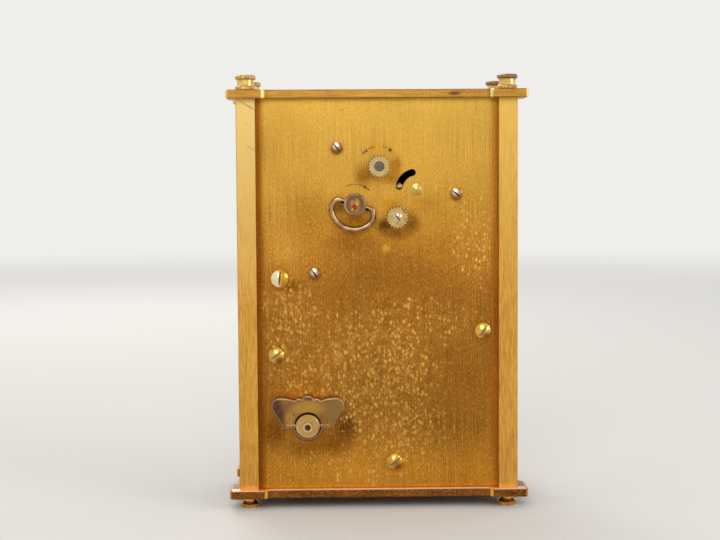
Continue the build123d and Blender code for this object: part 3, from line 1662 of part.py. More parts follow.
with BuildPart() as governor_cage:
    cage_holes = [(governor_place, governor_arbor_radius), (fly_place, fly_arbor_radius)]
    cage_low = governor_place[1] - cage_margin
    wall(
        inner_bridge_x,
        bridge_thickness,
        cage_low,
        cylinder_z + bridge_margin,
        [(cylinder_place, cylinder_arbor_radius), *cage_holes],
    )
    wall(outer_bridge_x, cage_wall_thickness, cage_low, cage_low + 2 * cage_margin, cage_holes)
    with BuildSketch(rear_plane(bed_front, (-outer_bridge_x, governor_place[1]))) as foot:
        cage_length = inner_bridge_x + bridge_thickness - outer_bridge_x
        Rectangle(cage_length, 2 * cage_margin, align=(Align.MAX, Align.CENTER))
    extrude(foot.sketch, amount=-bridge_thickness)
save(governor_cage, "governor_cage")

# Comb of steel teeth over the cylinder
comb_tip_z = cylinder_z + cylinder_radius + comb_tip_gap
comb_middle = -(cylinder_left + cylinder_right) / 2
comb_width = cylinder_right - cylinder_left - comb_margin
comb_pitch = comb_width / comb_teeth
comb_front = cylinder_y - comb_thickness / 2
comb_back = comb_front + comb_thickness
comb_screw_spread = comb_width / 2 - comb_screw_inset
comb_screw_z = comb_tip_z + comb_height - comb_heel_height / 2
comb_screws_at = [(comb_middle + step * comb_screw_spread, comb_screw_z) for step in (-1, 0, 1)]
with BuildPart() as music_comb:
    with BuildSketch(rear_plane(comb_front)) as face:
        with Locations((comb_middle, comb_tip_z)):
            Rectangle(comb_width, comb_height, align=(Align.CENTER, Align.MIN))
        for index in range(1, comb_teeth):
            tooth_length = comb_height - comb_heel_height - comb_taper * index / comb_teeth
            with Locations((comb_middle - comb_width / 2 + index * comb_pitch, comb_tip_z)):
                Rectangle(comb_slot, tooth_length, align=(Align.CENTER, Align.MIN), mode=Mode.SUBTRACT)
        with Locations(*comb_screws_at):
            Circle(small_shank_radius + screw_play, mode=Mode.SUBTRACT)
    extrude(face.sketch, amount=comb_thickness)
save(music_comb, "music_comb")

# Bed plate, cast with the comb's heel block and the cylinder's right bearing
with BuildPart() as music_bed_plate:
    with BuildSketch(rear_plane(bed_front)) as face:
        with Locations((0, (bed_bottom + bed_top) / 2)):
            RectangleRounded(2 * bed_half_width, bed_top - bed_bottom, bed_corner)
        with Locations(*large_screws_at):
            Circle(large_shank_radius + screw_play, mode=Mode.SUBTRACT)
        with Locations(music_key_at):
            Circle(music_stud_radius + running_fit, mode=Mode.SUBTRACT)
    extrude(face.sketch, amount=bed_thickness)
    with BuildSketch(rear_plane(comb_back)) as heel:
        with Locations((comb_middle, comb_screw_z)):
            Rectangle(comb_width, comb_heel_height)
    extrude(heel.sketch, amount=bed_front - comb_back)
    heel_thread_hole = inner_screw_length - comb_thickness + screw_end_gap
    for place in comb_screws_at:
        drill(rear_plane(comb_back, place), small_shank_radius + screw_play, heel_thread_hole)
    wall(
        right_bridge_x,
        bridge_thickness,
        cylinder_z - bridge_margin,
        cylinder_z + bridge_margin,
        [(cylinder_place, cylinder_arbor_radius)],
    )
save(music_bed_plate, "music_bed_plate")

# Screws inside, all of one kind: three in the front plate and three in the comb
with BuildPart() as inner_screws:
    comb_seats = [(comb_front, place) for place in comb_screws_at]
    plate_seats = [(front_plate_front, place) for place in small_screws_at]
    for depth, place in comb_seats + plate_seats:
        seat = Plane(origin=(-place[0], depth, place[1]), x_dir=(1, 0, 0), z_dir=(0, -1, 0))
        disc(seat, small_head_radius, small_head_height)
        slot_floor = seat.offset(small_head_height - small_slot_depth)
        with BuildSketch(slot_floor) as slot:
            Rectangle(3 * small_head_radius, small_slot_width, rotation=90)
        extrude(slot.sketch, amount=small_slot_depth, mode=Mode.SUBTRACT)
        disc(seat, small_shank_radius, -inner_screw_length)
save(inner_screws, "inner_screws")
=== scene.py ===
import math

import bpy
from mathutils import Matrix, Vector


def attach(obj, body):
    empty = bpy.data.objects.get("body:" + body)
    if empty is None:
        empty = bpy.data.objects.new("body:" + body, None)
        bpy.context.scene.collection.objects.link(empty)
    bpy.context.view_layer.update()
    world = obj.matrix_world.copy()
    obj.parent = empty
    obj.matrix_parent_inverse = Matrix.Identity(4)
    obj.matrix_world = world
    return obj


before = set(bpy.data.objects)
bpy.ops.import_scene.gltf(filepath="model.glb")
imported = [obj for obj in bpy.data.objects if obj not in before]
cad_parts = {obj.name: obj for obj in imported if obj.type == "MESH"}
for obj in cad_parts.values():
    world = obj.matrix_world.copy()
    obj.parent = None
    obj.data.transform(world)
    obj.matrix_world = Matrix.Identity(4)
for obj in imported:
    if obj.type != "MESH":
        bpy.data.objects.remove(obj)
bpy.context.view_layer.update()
bpy.ops.object.select_all(action="DESELECT")
bpy.context.scene.view_settings.view_transform = "Standard"


# The studio. The clock stands with its back to the camera on a pale card that fades into a pale
# room. A wide soft lamp stands high behind the camera, a weaker one to one side, and one lights the
# dial. Each lamp is its place, the side of its square and its power in watts.
camera_place = (0.01440, 0.47087, 0.10662)
camera_yaw, camera_pitch, camera_roll = 0.0192, -0.065, -0.0063
camera_lens, camera_sensor = 70.66, 36.0
room_colour, card_colour = "#EFEEEB", "#E2E0DB"
room_light = 0.62
card_radius, card_fade_start, card_fade_end = 1.8, 0.5, 1.71
lamp_aim = (0.0, 0.0, 0.07)
lamps = {
    "key_lamp": ((0.10, 0.95, 0.66), 0.60, 4.3),
    "fill_lamp": ((-0.75, 0.45, 0.40), 0.50, 1.8),
    "front_lamp": ((0.25, -0.80, 0.65), 0.50, 3.0),
}


def linear(code):
    """An sRGB hex colour as linear red, green, blue and alpha."""
    channels = [int(code[i:i + 2], 16) / 255 for i in (1, 3, 5)]
    return [c / 12.92 if c <= 0.04045 else ((c + 0.055) / 1.055) ** 2.4 for c in channels] + [1.0]


def add(owner, kind, inputs=(), **settings):
    """Adds one shader node. Inputs are (socket, value or link) pairs, and settings its properties."""
    node = owner.node_tree.nodes.new("ShaderNode" + kind)
    for setting, value in settings.items():
        setattr(node, setting, value)
    for socket, value in inputs:
        if isinstance(value, bpy.types.NodeSocket):
            owner.node_tree.links.new(value, node.inputs[socket])
        else:
            node.inputs[socket].default_value = value
    return node


yaw_cos, yaw_sin = math.cos(camera_yaw), math.sin(camera_yaw)
forward = Vector((-yaw_sin * math.cos(camera_pitch), -yaw_cos * math.cos(camera_pitch),
                  math.sin(camera_pitch)))
level = Vector((-yaw_cos, yaw_sin, 0.0))
upward = level.cross(forward)
right = level * math.cos(camera_roll) + upward * math.sin(camera_roll)
upward = upward * math.cos(camera_roll) - level * math.sin(camera_roll)
turn = Matrix((right, upward, -forward)).transposed().to_4x4()
camera = bpy.data.objects.new("camera", bpy.data.cameras.new("camera"))
camera.data.lens = camera_lens
camera.data.sensor_width = camera_sensor
camera.data.clip_start = 0.01
camera.matrix_world = Matrix.Translation(camera_place) @ turn
bpy.context.scene.collection.objects.link(camera)
bpy.context.scene.camera = camera

room = bpy.data.worlds.new("room")
room.use_nodes = True
bpy.context.scene.world = room
seen = room.node_tree.nodes["Background"]
seen.inputs["Color"].default_value = linear(room_colour)
seen.inputs["Strength"].default_value = 1.0
lit = add(room, "Background", [("Color", linear("#FFFFFF")), ("Strength", room_light)])
ray = add(room, "LightPath")
shown = add(room, "Math", [(0, ray.outputs["Is Camera Ray"]), (1, ray.outputs["Is Glossy Ray"])],
            operation="MAXIMUM")
shown = add(room, "Math", [(0, shown.outputs[0]), (1, ray.outputs["Is Transmission Ray"])],
            operation="MAXIMUM")
blend = add(room, "MixShader", [(0, shown.outputs[0]), (1, lit.outputs[0]), (2, seen.outputs[0])])
room.node_tree.links.new(blend.outputs[0], room.node_tree.nodes["World Output"].inputs["Surface"])

# matt card: a soft shadow under the clock, and a white edge that can't be told from the room
bpy.ops.mesh.primitive_circle_add(vertices=96, radius=card_radius, fill_type="NGON")
card = bpy.context.object
card.name = "card"
paper = bpy.data.materials.new("Pale studio card")
paper.use_nodes = True
shader = paper.node_tree.nodes["Principled BSDF"]
shader.inputs["Base Color"].default_value = linear(card_colour)
shader.inputs["Roughness"].default_value = 0.85
glow = add(paper, "Emission", [("Color", linear(room_colour)), ("Strength", 1.0)])
place = add(paper, "TexCoord").outputs["Object"]
reach = add(paper, "VectorMath", [(0, place)], operation="LENGTH")
fade = add(paper, "MapRange", [("Value", reach.outputs["Value"]), ("From Min", card_fade_start),
                               ("From Max", card_fade_end)], interpolation_type="SMOOTHSTEP")
blend = add(paper, "MixShader", [(0, fade.outputs[0]), (1, shader.outputs[0]), (2, glow.outputs[0])])
paper.node_tree.links.new(blend.outputs[0], paper.node_tree.nodes["Material Output"].inputs["Surface"])
card.data.materials.append(paper)
for lamp_name, (lamp_place, lamp_side, lamp_power) in lamps.items():
    lamp = bpy.data.objects.new(lamp_name, bpy.data.lights.new(lamp_name, "AREA"))
    lamp.data.shape = "SQUARE"
    lamp.data.size = lamp_side
    lamp.data.energy = lamp_power
    lamp.location = lamp_place
    aim = Vector(lamp_aim) - Vector(lamp_place)
    lamp.rotation_euler = aim.to_track_quat("-Z", "Y").to_euler()
    bpy.context.scene.collection.objects.link(lamp)


# The base plate and the top plate: 2.8 mm brass sheet with coved corners, satin on the edges and
# gilt lacquered. The lacquer has spotted, most of all along the base.
def worked_metal(name, light, dark, drift_mm, grain_mm, rough, relief_mm, grain_colour=0.25, axis=None,
                 metallic=1.0):
    """Bare, gilt or enamelled metal. Its colour drifts from light to dark in patches drift_mm across. The
    tool marks are grain_mm along X, Y and Z, or rings of grain_mm[0] about axis, an (X, Z) in mm."""
    made = bpy.data.materials.new(name)
    made.use_nodes = True
    shader = made.node_tree.nodes["Principled BSDF"]
    shader.inputs["Metallic"].default_value = metallic
    where = add(made, "TexCoord").outputs["Object"]
    spread = add(made, "Mapping", [("Vector", where), ("Scale", [1000 / drift_mm] * 3)])
    drift = add(made, "TexNoise", [("Vector", spread.outputs[0]), ("Scale", 1.0), ("Detail", 4.0)])
    drift = add(made, "MapRange", [("Value", drift.outputs[0]), ("From Min", 0.32), ("From Max", 0.68)])
    tone = add(made, "Mix", [(0, drift.outputs[0]), (6, linear(dark)), (7, linear(light))],
               data_type="RGBA")
    if axis:
        where = add(made, "Mapping", [("Vector", where), ("Location", (-axis[0] / 1000, 0, -axis[1] / 1000)),
                                      ("Scale", (1, 0, 1))]).outputs[0]
        where = add(made, "VectorMath", [(0, where)], operation="LENGTH").outputs["Value"]
    marks = add(made, "Mapping", [("Vector", where), ("Scale", [1000 / size for size in grain_mm])])
    marks = add(made, "TexNoise", [("Vector", marks.outputs[0]), ("Scale", 1.0), ("Detail", 3.0),
                                   ("Roughness", 0.6)])
    marks = add(made, "MapRange", [("Value", marks.outputs[0]), ("From Min", 0.3), ("From Max", 0.7)])
    line = add(made, "Mix", [(0, grain_colour), (6, tone.outputs[2]), (7, marks.outputs[0])],
               data_type="RGBA", blend_type="OVERLAY")
    made.node_tree.links.new(line.outputs[2], shader.inputs["Base Color"])
    gloss = add(made, "MapRange", [("Value", marks.outputs[0]), ("To Min", rough[0]), ("To Max", rough[1])])
    made.node_tree.links.new(gloss.outputs[0], shader.inputs["Roughness"])
    bump = add(made, "Bump", [("Height", marks.outputs[0]), ("Strength", 1.0),
                              ("Distance", relief_mm / 1000)])
    made.node_tree.links.new(bump.outputs[0], shader.inputs["Normal"])
    return made


def patches(made, size_mm, start, full, detail=3.0):
    """A mask of blotches size_mm long in X, Y and Z: 0 where the noise is below start, 1 above full."""
    where = add(made, "Mapping", [("Vector", add(made, "TexCoord").outputs["Object"]),
                                  ("Scale", [1000 / size for size in size_mm])])
    noise = add(made, "TexNoise", [("Vector", where.outputs[0]), ("Scale", 1.0), ("Detail", detail)])
    return add(made, "MapRange", [("Value", noise.outputs[0]), ("From Min", start), ("From Max", full)],
               interpolation_type="SMOOTHSTEP").outputs[0]


def around(made, centre_mm, reach_mm, inner=0.0, lean=0.0):
    """A mask that is 1 at a place and falls to 0 at reach_mm from it along X, Y and Z. The oval that
    it fills is solid up to the share inner, and leans by lean degrees about Y."""
    where = add(made, "Mapping", [("Vector", add(made, "TexCoord").outputs["Object"]),
                                  ("Location", [c / 1000 for c in centre_mm]),
                                  ("Rotation", (0, math.radians(lean), 0)),
                                  ("Scale", [r / 1000 for r in reach_mm])], vector_type="TEXTURE")
    where = add(made, "VectorMath", [(0, where.outputs[0])], operation="LENGTH")
    return add(made, "MapRange", [("Value", where.outputs["Value"]), ("From Min", inner), ("From Max", 1.0),
                                  ("To Min", 1.0), ("To Max", 0.0)],
               interpolation_type="SMOOTHSTEP").outputs[0]


def along(made, side, start_mm, full_mm, share=1.0):
    """A mask that rises from 0 to share between two places along one side, X, Y or Z."""
    where = add(made, "SeparateXYZ", [(0, add(made, "TexCoord").outputs["Object"])])
    return add(made, "MapRange", [("Value", where.outputs[side]), ("From Min", start_mm / 1000),
                                  ("From Max", full_mm / 1000), ("To Max", share)]).outputs[0]


def film(made, mask, colour, dull=None):
    """Lays another colour over the metal where the mask is 1, as tarnish or worn lacquer does."""
    shader = made.node_tree.nodes["Principled BSDF"]
    under = shader.inputs["Base Color"].links[0].from_socket
    over = add(made, "Mix", [(0, mask), (6, under), (7, linear(colour))], data_type="RGBA")
    made.node_tree.links.new(over.outputs[2], shader.inputs["Base Color"])
    if dull is not None:
        under = shader.inputs["Roughness"].links[0].from_socket
        over = add(made, "Mix", [(0, mask), (2, under), (3, dull)], data_type="FLOAT")
        made.node_tree.links.new(over.outputs[0], shader.inputs["Roughness"])


def dress(material, *names):
    """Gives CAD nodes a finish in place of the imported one."""
    for name in names:
        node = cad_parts[name]
        node.data.materials.clear()
        node.data.materials.append(material)


case_middle_y = -0.95
lug_inner_x, lug_outer_x = 37.0, 47.2
cove_start_x, cove_face_y = 35.9, 21.6
base_top_z, panel_foot_y = 6.15, 18.4
dark_spot, dark_spot_reach = (-24.6, 22.0, 133.3), (3.4, 3.0, 1.1)

# satin gilt sheet: a warm orange gold with faint lengthwise marks, small dark spots to one side
# where the lacquer has let go, and one larger spot on the edge
top_gilt = worked_metal("Satin gilt brass sheet", "#BE903F", "#AE7C36", 14.0, (6.0, 6.0, 0.25),
                        (0.30, 0.42), 0.004)
spotted = add(top_gilt, "Math", [(0, patches(top_gilt, (0.55, 0.55, 0.4), 0.57, 0.64)),
                                 (1, along(top_gilt, "X", 6.0, -18.0))], operation="MULTIPLY")
film(top_gilt, spotted.outputs[0], "#7A5426", 0.5)
film(top_gilt, around(top_gilt, dark_spot, dark_spot_reach, 0.45), "#4E3822", 0.5)

# the same sheet gone red brown under its lacquer, with gold specks and, outside the panel, a
# painted highlight: a pinkish strip along the top edge
base_gilt = worked_metal("Tarnished gilt brass sheet", "#8E5422", "#663816", 9.0, (5.0, 5.0, 0.25),
                         (0.28, 0.42), 0.004)
film(base_gilt, patches(base_gilt, (0.5, 0.5, 0.35), 0.50, 0.66), "#B0803A")
film(base_gilt, patches(base_gilt, (7.0, 7.0, 3.0), 0.55, 0.72), "#A06A2A")
upper_edge_highlight = add(base_gilt, "Math", [(0, along(base_gilt, "Z", base_top_z, base_top_z + 0.2)),
                                     (1, along(base_gilt, "Y", panel_foot_y, panel_foot_y + 1.0))],
                 operation="MULTIPLY")
film(base_gilt, upper_edge_highlight.outputs[0], "#EEC0A0", 0.4)

# painted highlights: both plates are brighter in the coves and at the ends, where their curves catch the
# light
for gilt, cove_highlight, end_highlight in ((top_gilt, "#FFE9A0", "#F0CF84"), (base_gilt, "#FFD258", "#B07C3E")):
    depth = add(gilt, "SeparateXYZ", [(0, add(gilt, "TexCoord").outputs["Object"])])
    depth = add(gilt, "Math", [(0, depth.outputs["Y"]), (1, case_middle_y / 1000)], operation="SUBTRACT")
    depth = add(gilt, "Math", [(0, depth.outputs[0])], operation="ABSOLUTE")
    outer = add(gilt, "MapRange", [("Value", depth.outputs[0]), ("From Min", cove_face_y / 1000),
                                   ("From Max", (cove_face_y + 0.1) / 1000)])
    for side in (1, -1):
        cove_glint = add(gilt, "Math", [(0, along(gilt, "X", side * cove_start_x, side * (cove_start_x + 0.2))),
                                  (1, along(gilt, "X", side * lug_inner_x, side * (lug_inner_x - 0.1)))],
                   operation="MULTIPLY")
        cove_glint = add(gilt, "Math", [(0, cove_glint.outputs[0]), (1, outer.outputs[0])], operation="MULTIPLY")
        film(gilt, cove_glint.outputs[0], cove_highlight)
        film(gilt, along(gilt, "X", side * lug_outer_x, side * (lug_outer_x + 0.3)), end_highlight)
dress(top_gilt, "top_plate")
dress(base_gilt, "base_plate")


# The four corner posts: square brass bar, ground lengthwise and gilt, held between the plates by
# steel rods that run through them. Scratches cross one post below the top plate.
top_light_start_z, top_light_full_z = 62.0, 134.0
post_back_y = 19.0
scratches = ((41.4, 129.9, 3.9, 0.11, -35), (40.0, 129.3, 1.7, 0.08, -30), (40.2, 116.2, 2.2, 0.09, -38),
             (41.6, 124.0, 0.9, 0.05, 12))

# ground gilt bar: fine upright lines, drawn 0.24 mm wide where the real ones are finer, on an even
# gold, with painted light that makes it paler towards the top, most of all on one side
post_gilt = worked_metal("Ground gilt brass bar", "#D69F48", "#C8923E", 22.0, (0.24, 0.24, 4.0),
                         (0.32, 0.44), 0.003, 0.34)
top_light = along(post_gilt, "Z", top_light_start_z, top_light_full_z, 0.9)
film(post_gilt, top_light, "#DAB258")
top_light_one_side = add(post_gilt, "Math", [(0, top_light), (1, along(post_gilt, "X", 0.0, 30.0))], operation="MULTIPLY")
film(post_gilt, top_light_one_side.outputs[0], "#D6B874")
for centre_x, centre_z, half_length, half_width, lean in scratches:
    film(post_gilt, around(post_gilt, (centre_x, post_back_y, centre_z), (half_length, 6.0, half_width), 0.5,
                           lean), "#5A3C14", 0.5)
dress(post_gilt, "front_posts", "rear_posts")

# drawn steel: a cool grey with faint lines along the rod
rod_steel = worked_metal("Drawn steel rod", "#8C8B88", "#6F6E6B", 8.0, (0.2, 0.2, 5.0), (0.3, 0.42), 0.003)
dress(rod_steel, "tie_rods")


# The feet and the finials: turned from brass bar, knurled at the rims and gilt, screwed on the
# ends of the rods.
post_axis_x, post_axis_y = 41.9, 16.9
knurl_count, knurl_height = 34, 0.1
rim_start, rim_full = 2.85, 3.1
dull_cap_x, dull_cap_z = -36.0, 137.4

# gilt brass turning: small bright glints, painted shade in brown in the gaps of the knurl, and two
# of the caps dulled to a grey brown
turned_gilt = worked_metal("Knurled gilt brass turning", "#F8D88C", "#CE9A4C", 2.0, (1.2, 1.2, 0.2),
                           (0.14, 0.26), 0.004, 0.12)
film(turned_gilt, patches(turned_gilt, (1.1, 1.1, 0.6), 0.61, 0.70), "#8A5F2C", 0.4)

# the knurl runs round each post's axis: X and Y are folded on to one corner of the case first
corner = add(turned_gilt, "VectorMath", [(0, add(turned_gilt, "TexCoord").outputs["Object"]),
                                         (1, (0, case_middle_y / 1000, 0))], operation="SUBTRACT")
corner = add(turned_gilt, "VectorMath", [(0, corner.outputs[0])], operation="ABSOLUTE")
corner = add(turned_gilt, "VectorMath", [(0, corner.outputs[0]),
                                         (1, (post_axis_x / 1000, post_axis_y / 1000, 0))],
             operation="SUBTRACT")
corner = add(turned_gilt, "VectorMath", [(0, corner.outputs[0]), (1, (1, 1, 0))], operation="MULTIPLY")
spot = add(turned_gilt, "SeparateXYZ", [(0, corner.outputs[0])])
ridge = add(turned_gilt, "Math", [(0, spot.outputs["Y"]), (1, spot.outputs["X"])], operation="ARCTAN2")
ridge = add(turned_gilt, "Math", [(0, ridge.outputs[0]), (1, knurl_count)], operation="MULTIPLY")
ridge = add(turned_gilt, "Math", [(0, ridge.outputs[0])], operation="SINE")
rim = add(turned_gilt, "VectorMath", [(0, corner.outputs[0])], operation="LENGTH")
rim = add(turned_gilt, "MapRange", [("Value", rim.outputs["Value"]), ("From Min", rim_start / 1000),
                                    ("From Max", rim_full / 1000)])
ridge = add(turned_gilt, "Math", [(0, ridge.outputs[0]), (1, rim.outputs[0])], operation="MULTIPLY")
knurl_gap_shade = add(turned_gilt, "MapRange", [("Value", ridge.outputs[0]), ("From Min", 0.2), ("To Max", 0.6)])
film(turned_gilt, knurl_gap_shade.outputs[0], "#6E4A1E")
ridges = add(turned_gilt, "Bump", [("Height", ridge.outputs[0]), ("Strength", 1.0),
                                   ("Distance", knurl_height / 1000)])
shader = turned_gilt.node_tree.nodes["Principled BSDF"]
turned_gilt.node_tree.links.new(ridges.outputs[0], shader.inputs["Normal"])
dull_caps = add(turned_gilt, "Math", [(0, along(turned_gilt, "X", dull_cap_x, dull_cap_x - 2.0)),
                                      (1, along(turned_gilt, "Z", dull_cap_z, dull_cap_z + 1.0, 0.7))],
                operation="MULTIPLY")
film(turned_gilt, dull_caps.outputs[0], "#6B5A48")
dress(turned_gilt, "feet", "finials")


# The panes: plain clear glass in grooves of the posts, one in front of the dial and one at each
# side, faintly green at their edges.
glass_tint, glass_index, smear_scale = "#FBFDFC", 1.5, (60, 60, 25)

# float glass: almost without colour, with soft smears that show only in what it mirrors, and clear
# to the light that falls on what is behind it
glass = bpy.data.materials.new("Clear float glass")
glass.use_nodes = True
shader = glass.node_tree.nodes["Principled BSDF"]
shader.inputs["Base Color"].default_value = linear(glass_tint)
shader.inputs["Transmission Weight"].default_value = 1.0
shader.inputs["IOR"].default_value = glass_index
smear = add(glass, "Mapping", [("Vector", add(glass, "TexCoord").outputs["Object"]), ("Scale", smear_scale)])
smear = add(glass, "TexNoise", [("Vector", smear.outputs[0]), ("Scale", 1.0), ("Detail", 5.0)])
smear = add(glass, "MapRange", [("Value", smear.outputs[0]), ("From Min", 0.4), ("From Max", 0.8),
                                ("To Min", 0.0), ("To Max", 0.06)])
glass.node_tree.links.new(smear.outputs[0], shader.inputs["Roughness"])
ray = add(glass, "LightPath")
plain = add(glass, "Math", [(0, ray.outputs["Is Shadow Ray"]), (1, ray.outputs["Is Diffuse Ray"])],
            operation="MAXIMUM")
through = add(glass, "BsdfTransparent", [("Color", linear(glass_tint))])
blend = add(glass, "MixShader", [(0, plain.outputs[0]), (1, shader.outputs[0]), (2, through.outputs[0])])
glass.node_tree.links.new(blend.outputs[0], glass.node_tree.nodes["Material Output"].inputs["Surface"])
dress(glass, "front_glass", "side_glass")


# The dial: a gilt plate grained upright, matt in its middle, with an ivory enamelled chapter ring
# riveted to it. The hours, the minute track and the rivets are pieces of their own.
dial_axis = (0.0, 93.14)
dial_face_y, matt_reach = -14.5, 23.4
ring_face_y = -14.95
ink_thickness = 0.03

# grained gilt: fine upright lines, drawn 0.2 mm wide where the real ones are finer, round a darker
# matt middle that keeps its glare off the hands
dial_gilt = worked_metal("Grained gilt dial plate", "#ECC470", "#DCAE58", 18.0, (0.2, 0.2, 12.0),
                         (0.34, 0.46), 0.004, 0.16)
film(dial_gilt, around(dial_gilt, (dial_axis[0], dial_face_y, dial_axis[1]), [matt_reach] * 3, 0.985),
     "#C9A050", 0.6)

# stoved enamel: a warm white with an even, soft gloss and no grain
ivory = worked_metal("Ivory stove enamel", "#EFE6CC", "#E6DABC", 16.0, (0.8, 0.8, 0.8),
                     (0.28, 0.34), 0.001, 0.04, metallic=0.0)
dress(dial_gilt, "dial_plate", "alarm_hand")
dress(ivory, "chapter_ring")

# printing ink: a warm black, duller than the enamel that it lies on
ink = worked_metal("Black printing ink", "#1C1A18", "#141210", 4.0, (0.5, 0.5, 0.5), (0.45, 0.55),
                   0.001, 0.04, metallic=0.0)


def join_as(name, parts, material):
    """Joins loose parts into one mesh piece whose place is in its mesh."""
    bpy.ops.object.select_all(action="DESELECT")
    for part in parts:
        part.select_set(True)
    bpy.context.view_layer.objects.active = parts[0]
    bpy.ops.object.transform_apply(location=True, rotation=True, scale=True)
    if len(parts) > 1:
        bpy.ops.object.join()
    piece = bpy.context.object
    piece.name = name
    bpy.context.scene.cursor.location = (0, 0, 0)
    bpy.ops.object.origin_set(type="ORIGIN_CURSOR")
    piece.data.materials.clear()
    piece.data.materials.append(material)
    return piece


# the hours stand with their feet to the middle, each with a bar across its head and its foot
hours = ["XII", "I", "II", "III", "IIII", "V", "VI", "VII", "VIII", "IX", "X", "XI"]
numeral_height, numeral_reach, numeral_narrow = 4.6, 29.3, 0.72
capital_share, stroke_growth = 0.7, 0.09
serif_depth = 0.22
serif_widths = {"I": 1.5, "II": 2.3, "III": 3.2, "IIII": 4.1, "V": 3.4, "VI": 4.1, "VII": 5.0, "VIII": 5.9,
                "IX": 4.0, "X": 3.4, "XI": 4.0, "XII": 4.8}
numerals = []
for index, hour in enumerate(hours):
    angle = math.radians(30 * index)
    bpy.ops.object.select_all(action="DESELECT")
    bpy.ops.object.text_add()
    numeral = bpy.context.object
    numeral.data.body = hour
    numeral.data.size = numeral_height / 1000 / capital_share
    numeral.data.extrude = ink_thickness / 2000
    numeral.data.resolution_u = 4
    numeral.data.offset = stroke_growth / 1000
    numeral.data.align_x = "CENTER"
    numeral.data.align_y = "CENTER"
    bpy.ops.object.convert(target="MESH")
    numeral.scale = (numeral_narrow, 1.0, 1.0)
    numeral.rotation_euler = (math.pi / 2, angle, 0)
    numeral.location = (numeral_reach / 1000 * math.sin(angle), (ring_face_y - ink_thickness / 2) / 1000,
                        dial_axis[1] / 1000 + numeral_reach / 1000 * math.cos(angle))
    numerals.append(numeral)
    for end in (-1, 1):
        bpy.ops.mesh.primitive_cube_add(size=0.001)
        serif = bpy.context.object
        serif.scale = (serif_widths[hour], ink_thickness, serif_depth)
        serif.rotation_euler = (0, angle, 0)
        reach = (numeral_reach + end * numeral_height / 2) / 1000
        serif.location = (reach * math.sin(angle), (ring_face_y - ink_thickness / 2) / 1000,
                          dial_axis[1] / 1000 + reach * math.cos(angle))
        numerals.append(serif)
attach(join_as("dial_numerals", numerals, ink), "case")

# the minute track: sixty bars between two rings, those at the hours wider
track_inner, track_outer, track_bar, hour_bar_share = 32.6, 33.9, 0.14, 2.6
bars = []
for minute in range(60):
    angle = math.radians(6 * minute)
    wide = hour_bar_share if minute % 5 == 0 else 1.0
    middle = (track_inner + track_outer) / 2000
    bpy.ops.mesh.primitive_cube_add(size=1.0)
    bar = bpy.context.object
    bar.scale = (wide * track_bar / 1000, ink_thickness / 1000, (track_outer - track_inner) / 1000)
    bar.rotation_euler = (0, angle, 0)
    bar.location = (middle * math.sin(angle), (ring_face_y - ink_thickness / 2) / 1000,
                    dial_axis[1] / 1000 + middle * math.cos(angle))
    bars.append(bar)
for reach in (track_inner, track_outer):
    bpy.ops.mesh.primitive_circle_add(vertices=120, radius=(reach - track_bar / 2) / 1000,
                                      rotation=(math.pi / 2, 0, 0))
    circle = bpy.context.object
    bpy.ops.object.mode_set(mode="EDIT")
    bpy.ops.mesh.select_all(action="SELECT")
    bpy.ops.mesh.extrude_edges_move()
    bpy.ops.transform.resize(value=[(reach + track_bar / 2) / (reach - track_bar / 2)] * 3)
    bpy.ops.mesh.select_all(action="SELECT")
    bpy.ops.mesh.normals_make_consistent(inside=False)
    bpy.ops.object.mode_set(mode="OBJECT")
    thick = circle.modifiers.new("thick", "SOLIDIFY")
    thick.thickness = ink_thickness / 1000
    thick.offset = 0.0
    bpy.ops.object.modifier_apply(modifier="thick")
    circle.location = (0, (ring_face_y - ink_thickness / 2) / 1000, dial_axis[1] / 1000)
    bars.append(circle)
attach(join_as("minute_track", bars, ink), "case")

# the rivets: flat domes that shine where they stand out of the enamel
rivet_reach, rivet_radius, rivet_flatness = 26.4, 0.45, 0.45
rivets = []
for quarter in range(4):
    angle = math.radians(45 + 90 * quarter)
    bpy.ops.mesh.primitive_uv_sphere_add(segments=24, ring_count=12, radius=rivet_radius / 1000)
    rivet = bpy.context.object
    rivet.scale = (1.0, rivet_flatness, 1.0)
    bpy.ops.object.shade_smooth()
    rivet.location = (rivet_reach / 1000 * math.sin(angle), ring_face_y / 1000,
                      dial_axis[1] / 1000 + rivet_reach / 1000 * math.cos(angle))
    rivets.append(rivet)
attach(join_as("ring_rivets", rivets, turned_gilt), "case")


# The back panel: 1.5 mm brass sheet brushed upright and lacquered. The lacquer has gone deep
# orange round the keys and brown in the middle, and light flecks stand in the lower half.
panel_foot_z, panel_head_z, panel_skin_y = 6.5, 131.9, 17.9

# brushed brass under old lacquer: lighter and darker upright lines, drawn 0.26 mm wide where the
# real ones are nearer 0.1 mm, on a tone that is gold at the top, brown below and orange at the foot.
# The gold at the top is partly painted light, falling from above.
panel_brass = worked_metal("Brushed lacquered brass panel", "#F4F4F4", "#DCDCDC", 26.0, (0.26, 1.0, 18.0),
                           (0.34, 0.46), 0.006, 0.95)
shader = panel_brass.node_tree.nodes["Principled BSDF"]
brushed = shader.inputs["Base Color"].links[0].from_socket
tone_and_top_light = add(panel_brass, "ValToRGB", [("Fac", along(panel_brass, "Z", panel_foot_z, panel_head_z))])
tone_and_top_light_stops = ((0.0, "#D08C28"), (0.05, "#D08E2C"), (0.16, "#AC7024"), (0.34, "#AC6F25"), (0.52, "#B27427"),
         (0.66, "#C88C2F"), (0.77, "#D29E3E"), (0.90, "#D3A344"), (1.0, "#D8AB48"))
tone_and_top_light.color_ramp.elements[0].color = linear(tone_and_top_light_stops[0][1])
tone_and_top_light.color_ramp.elements[1].position = 1.0
tone_and_top_light.color_ramp.elements[1].color = linear(tone_and_top_light_stops[-1][1])
for position, colour in tone_and_top_light_stops[1:-1]:
    tone_and_top_light.color_ramp.elements.new(position).color = linear(colour)
panel_brass.node_tree.links.new(tone_and_top_light.outputs[0], shader.inputs["Base Color"])
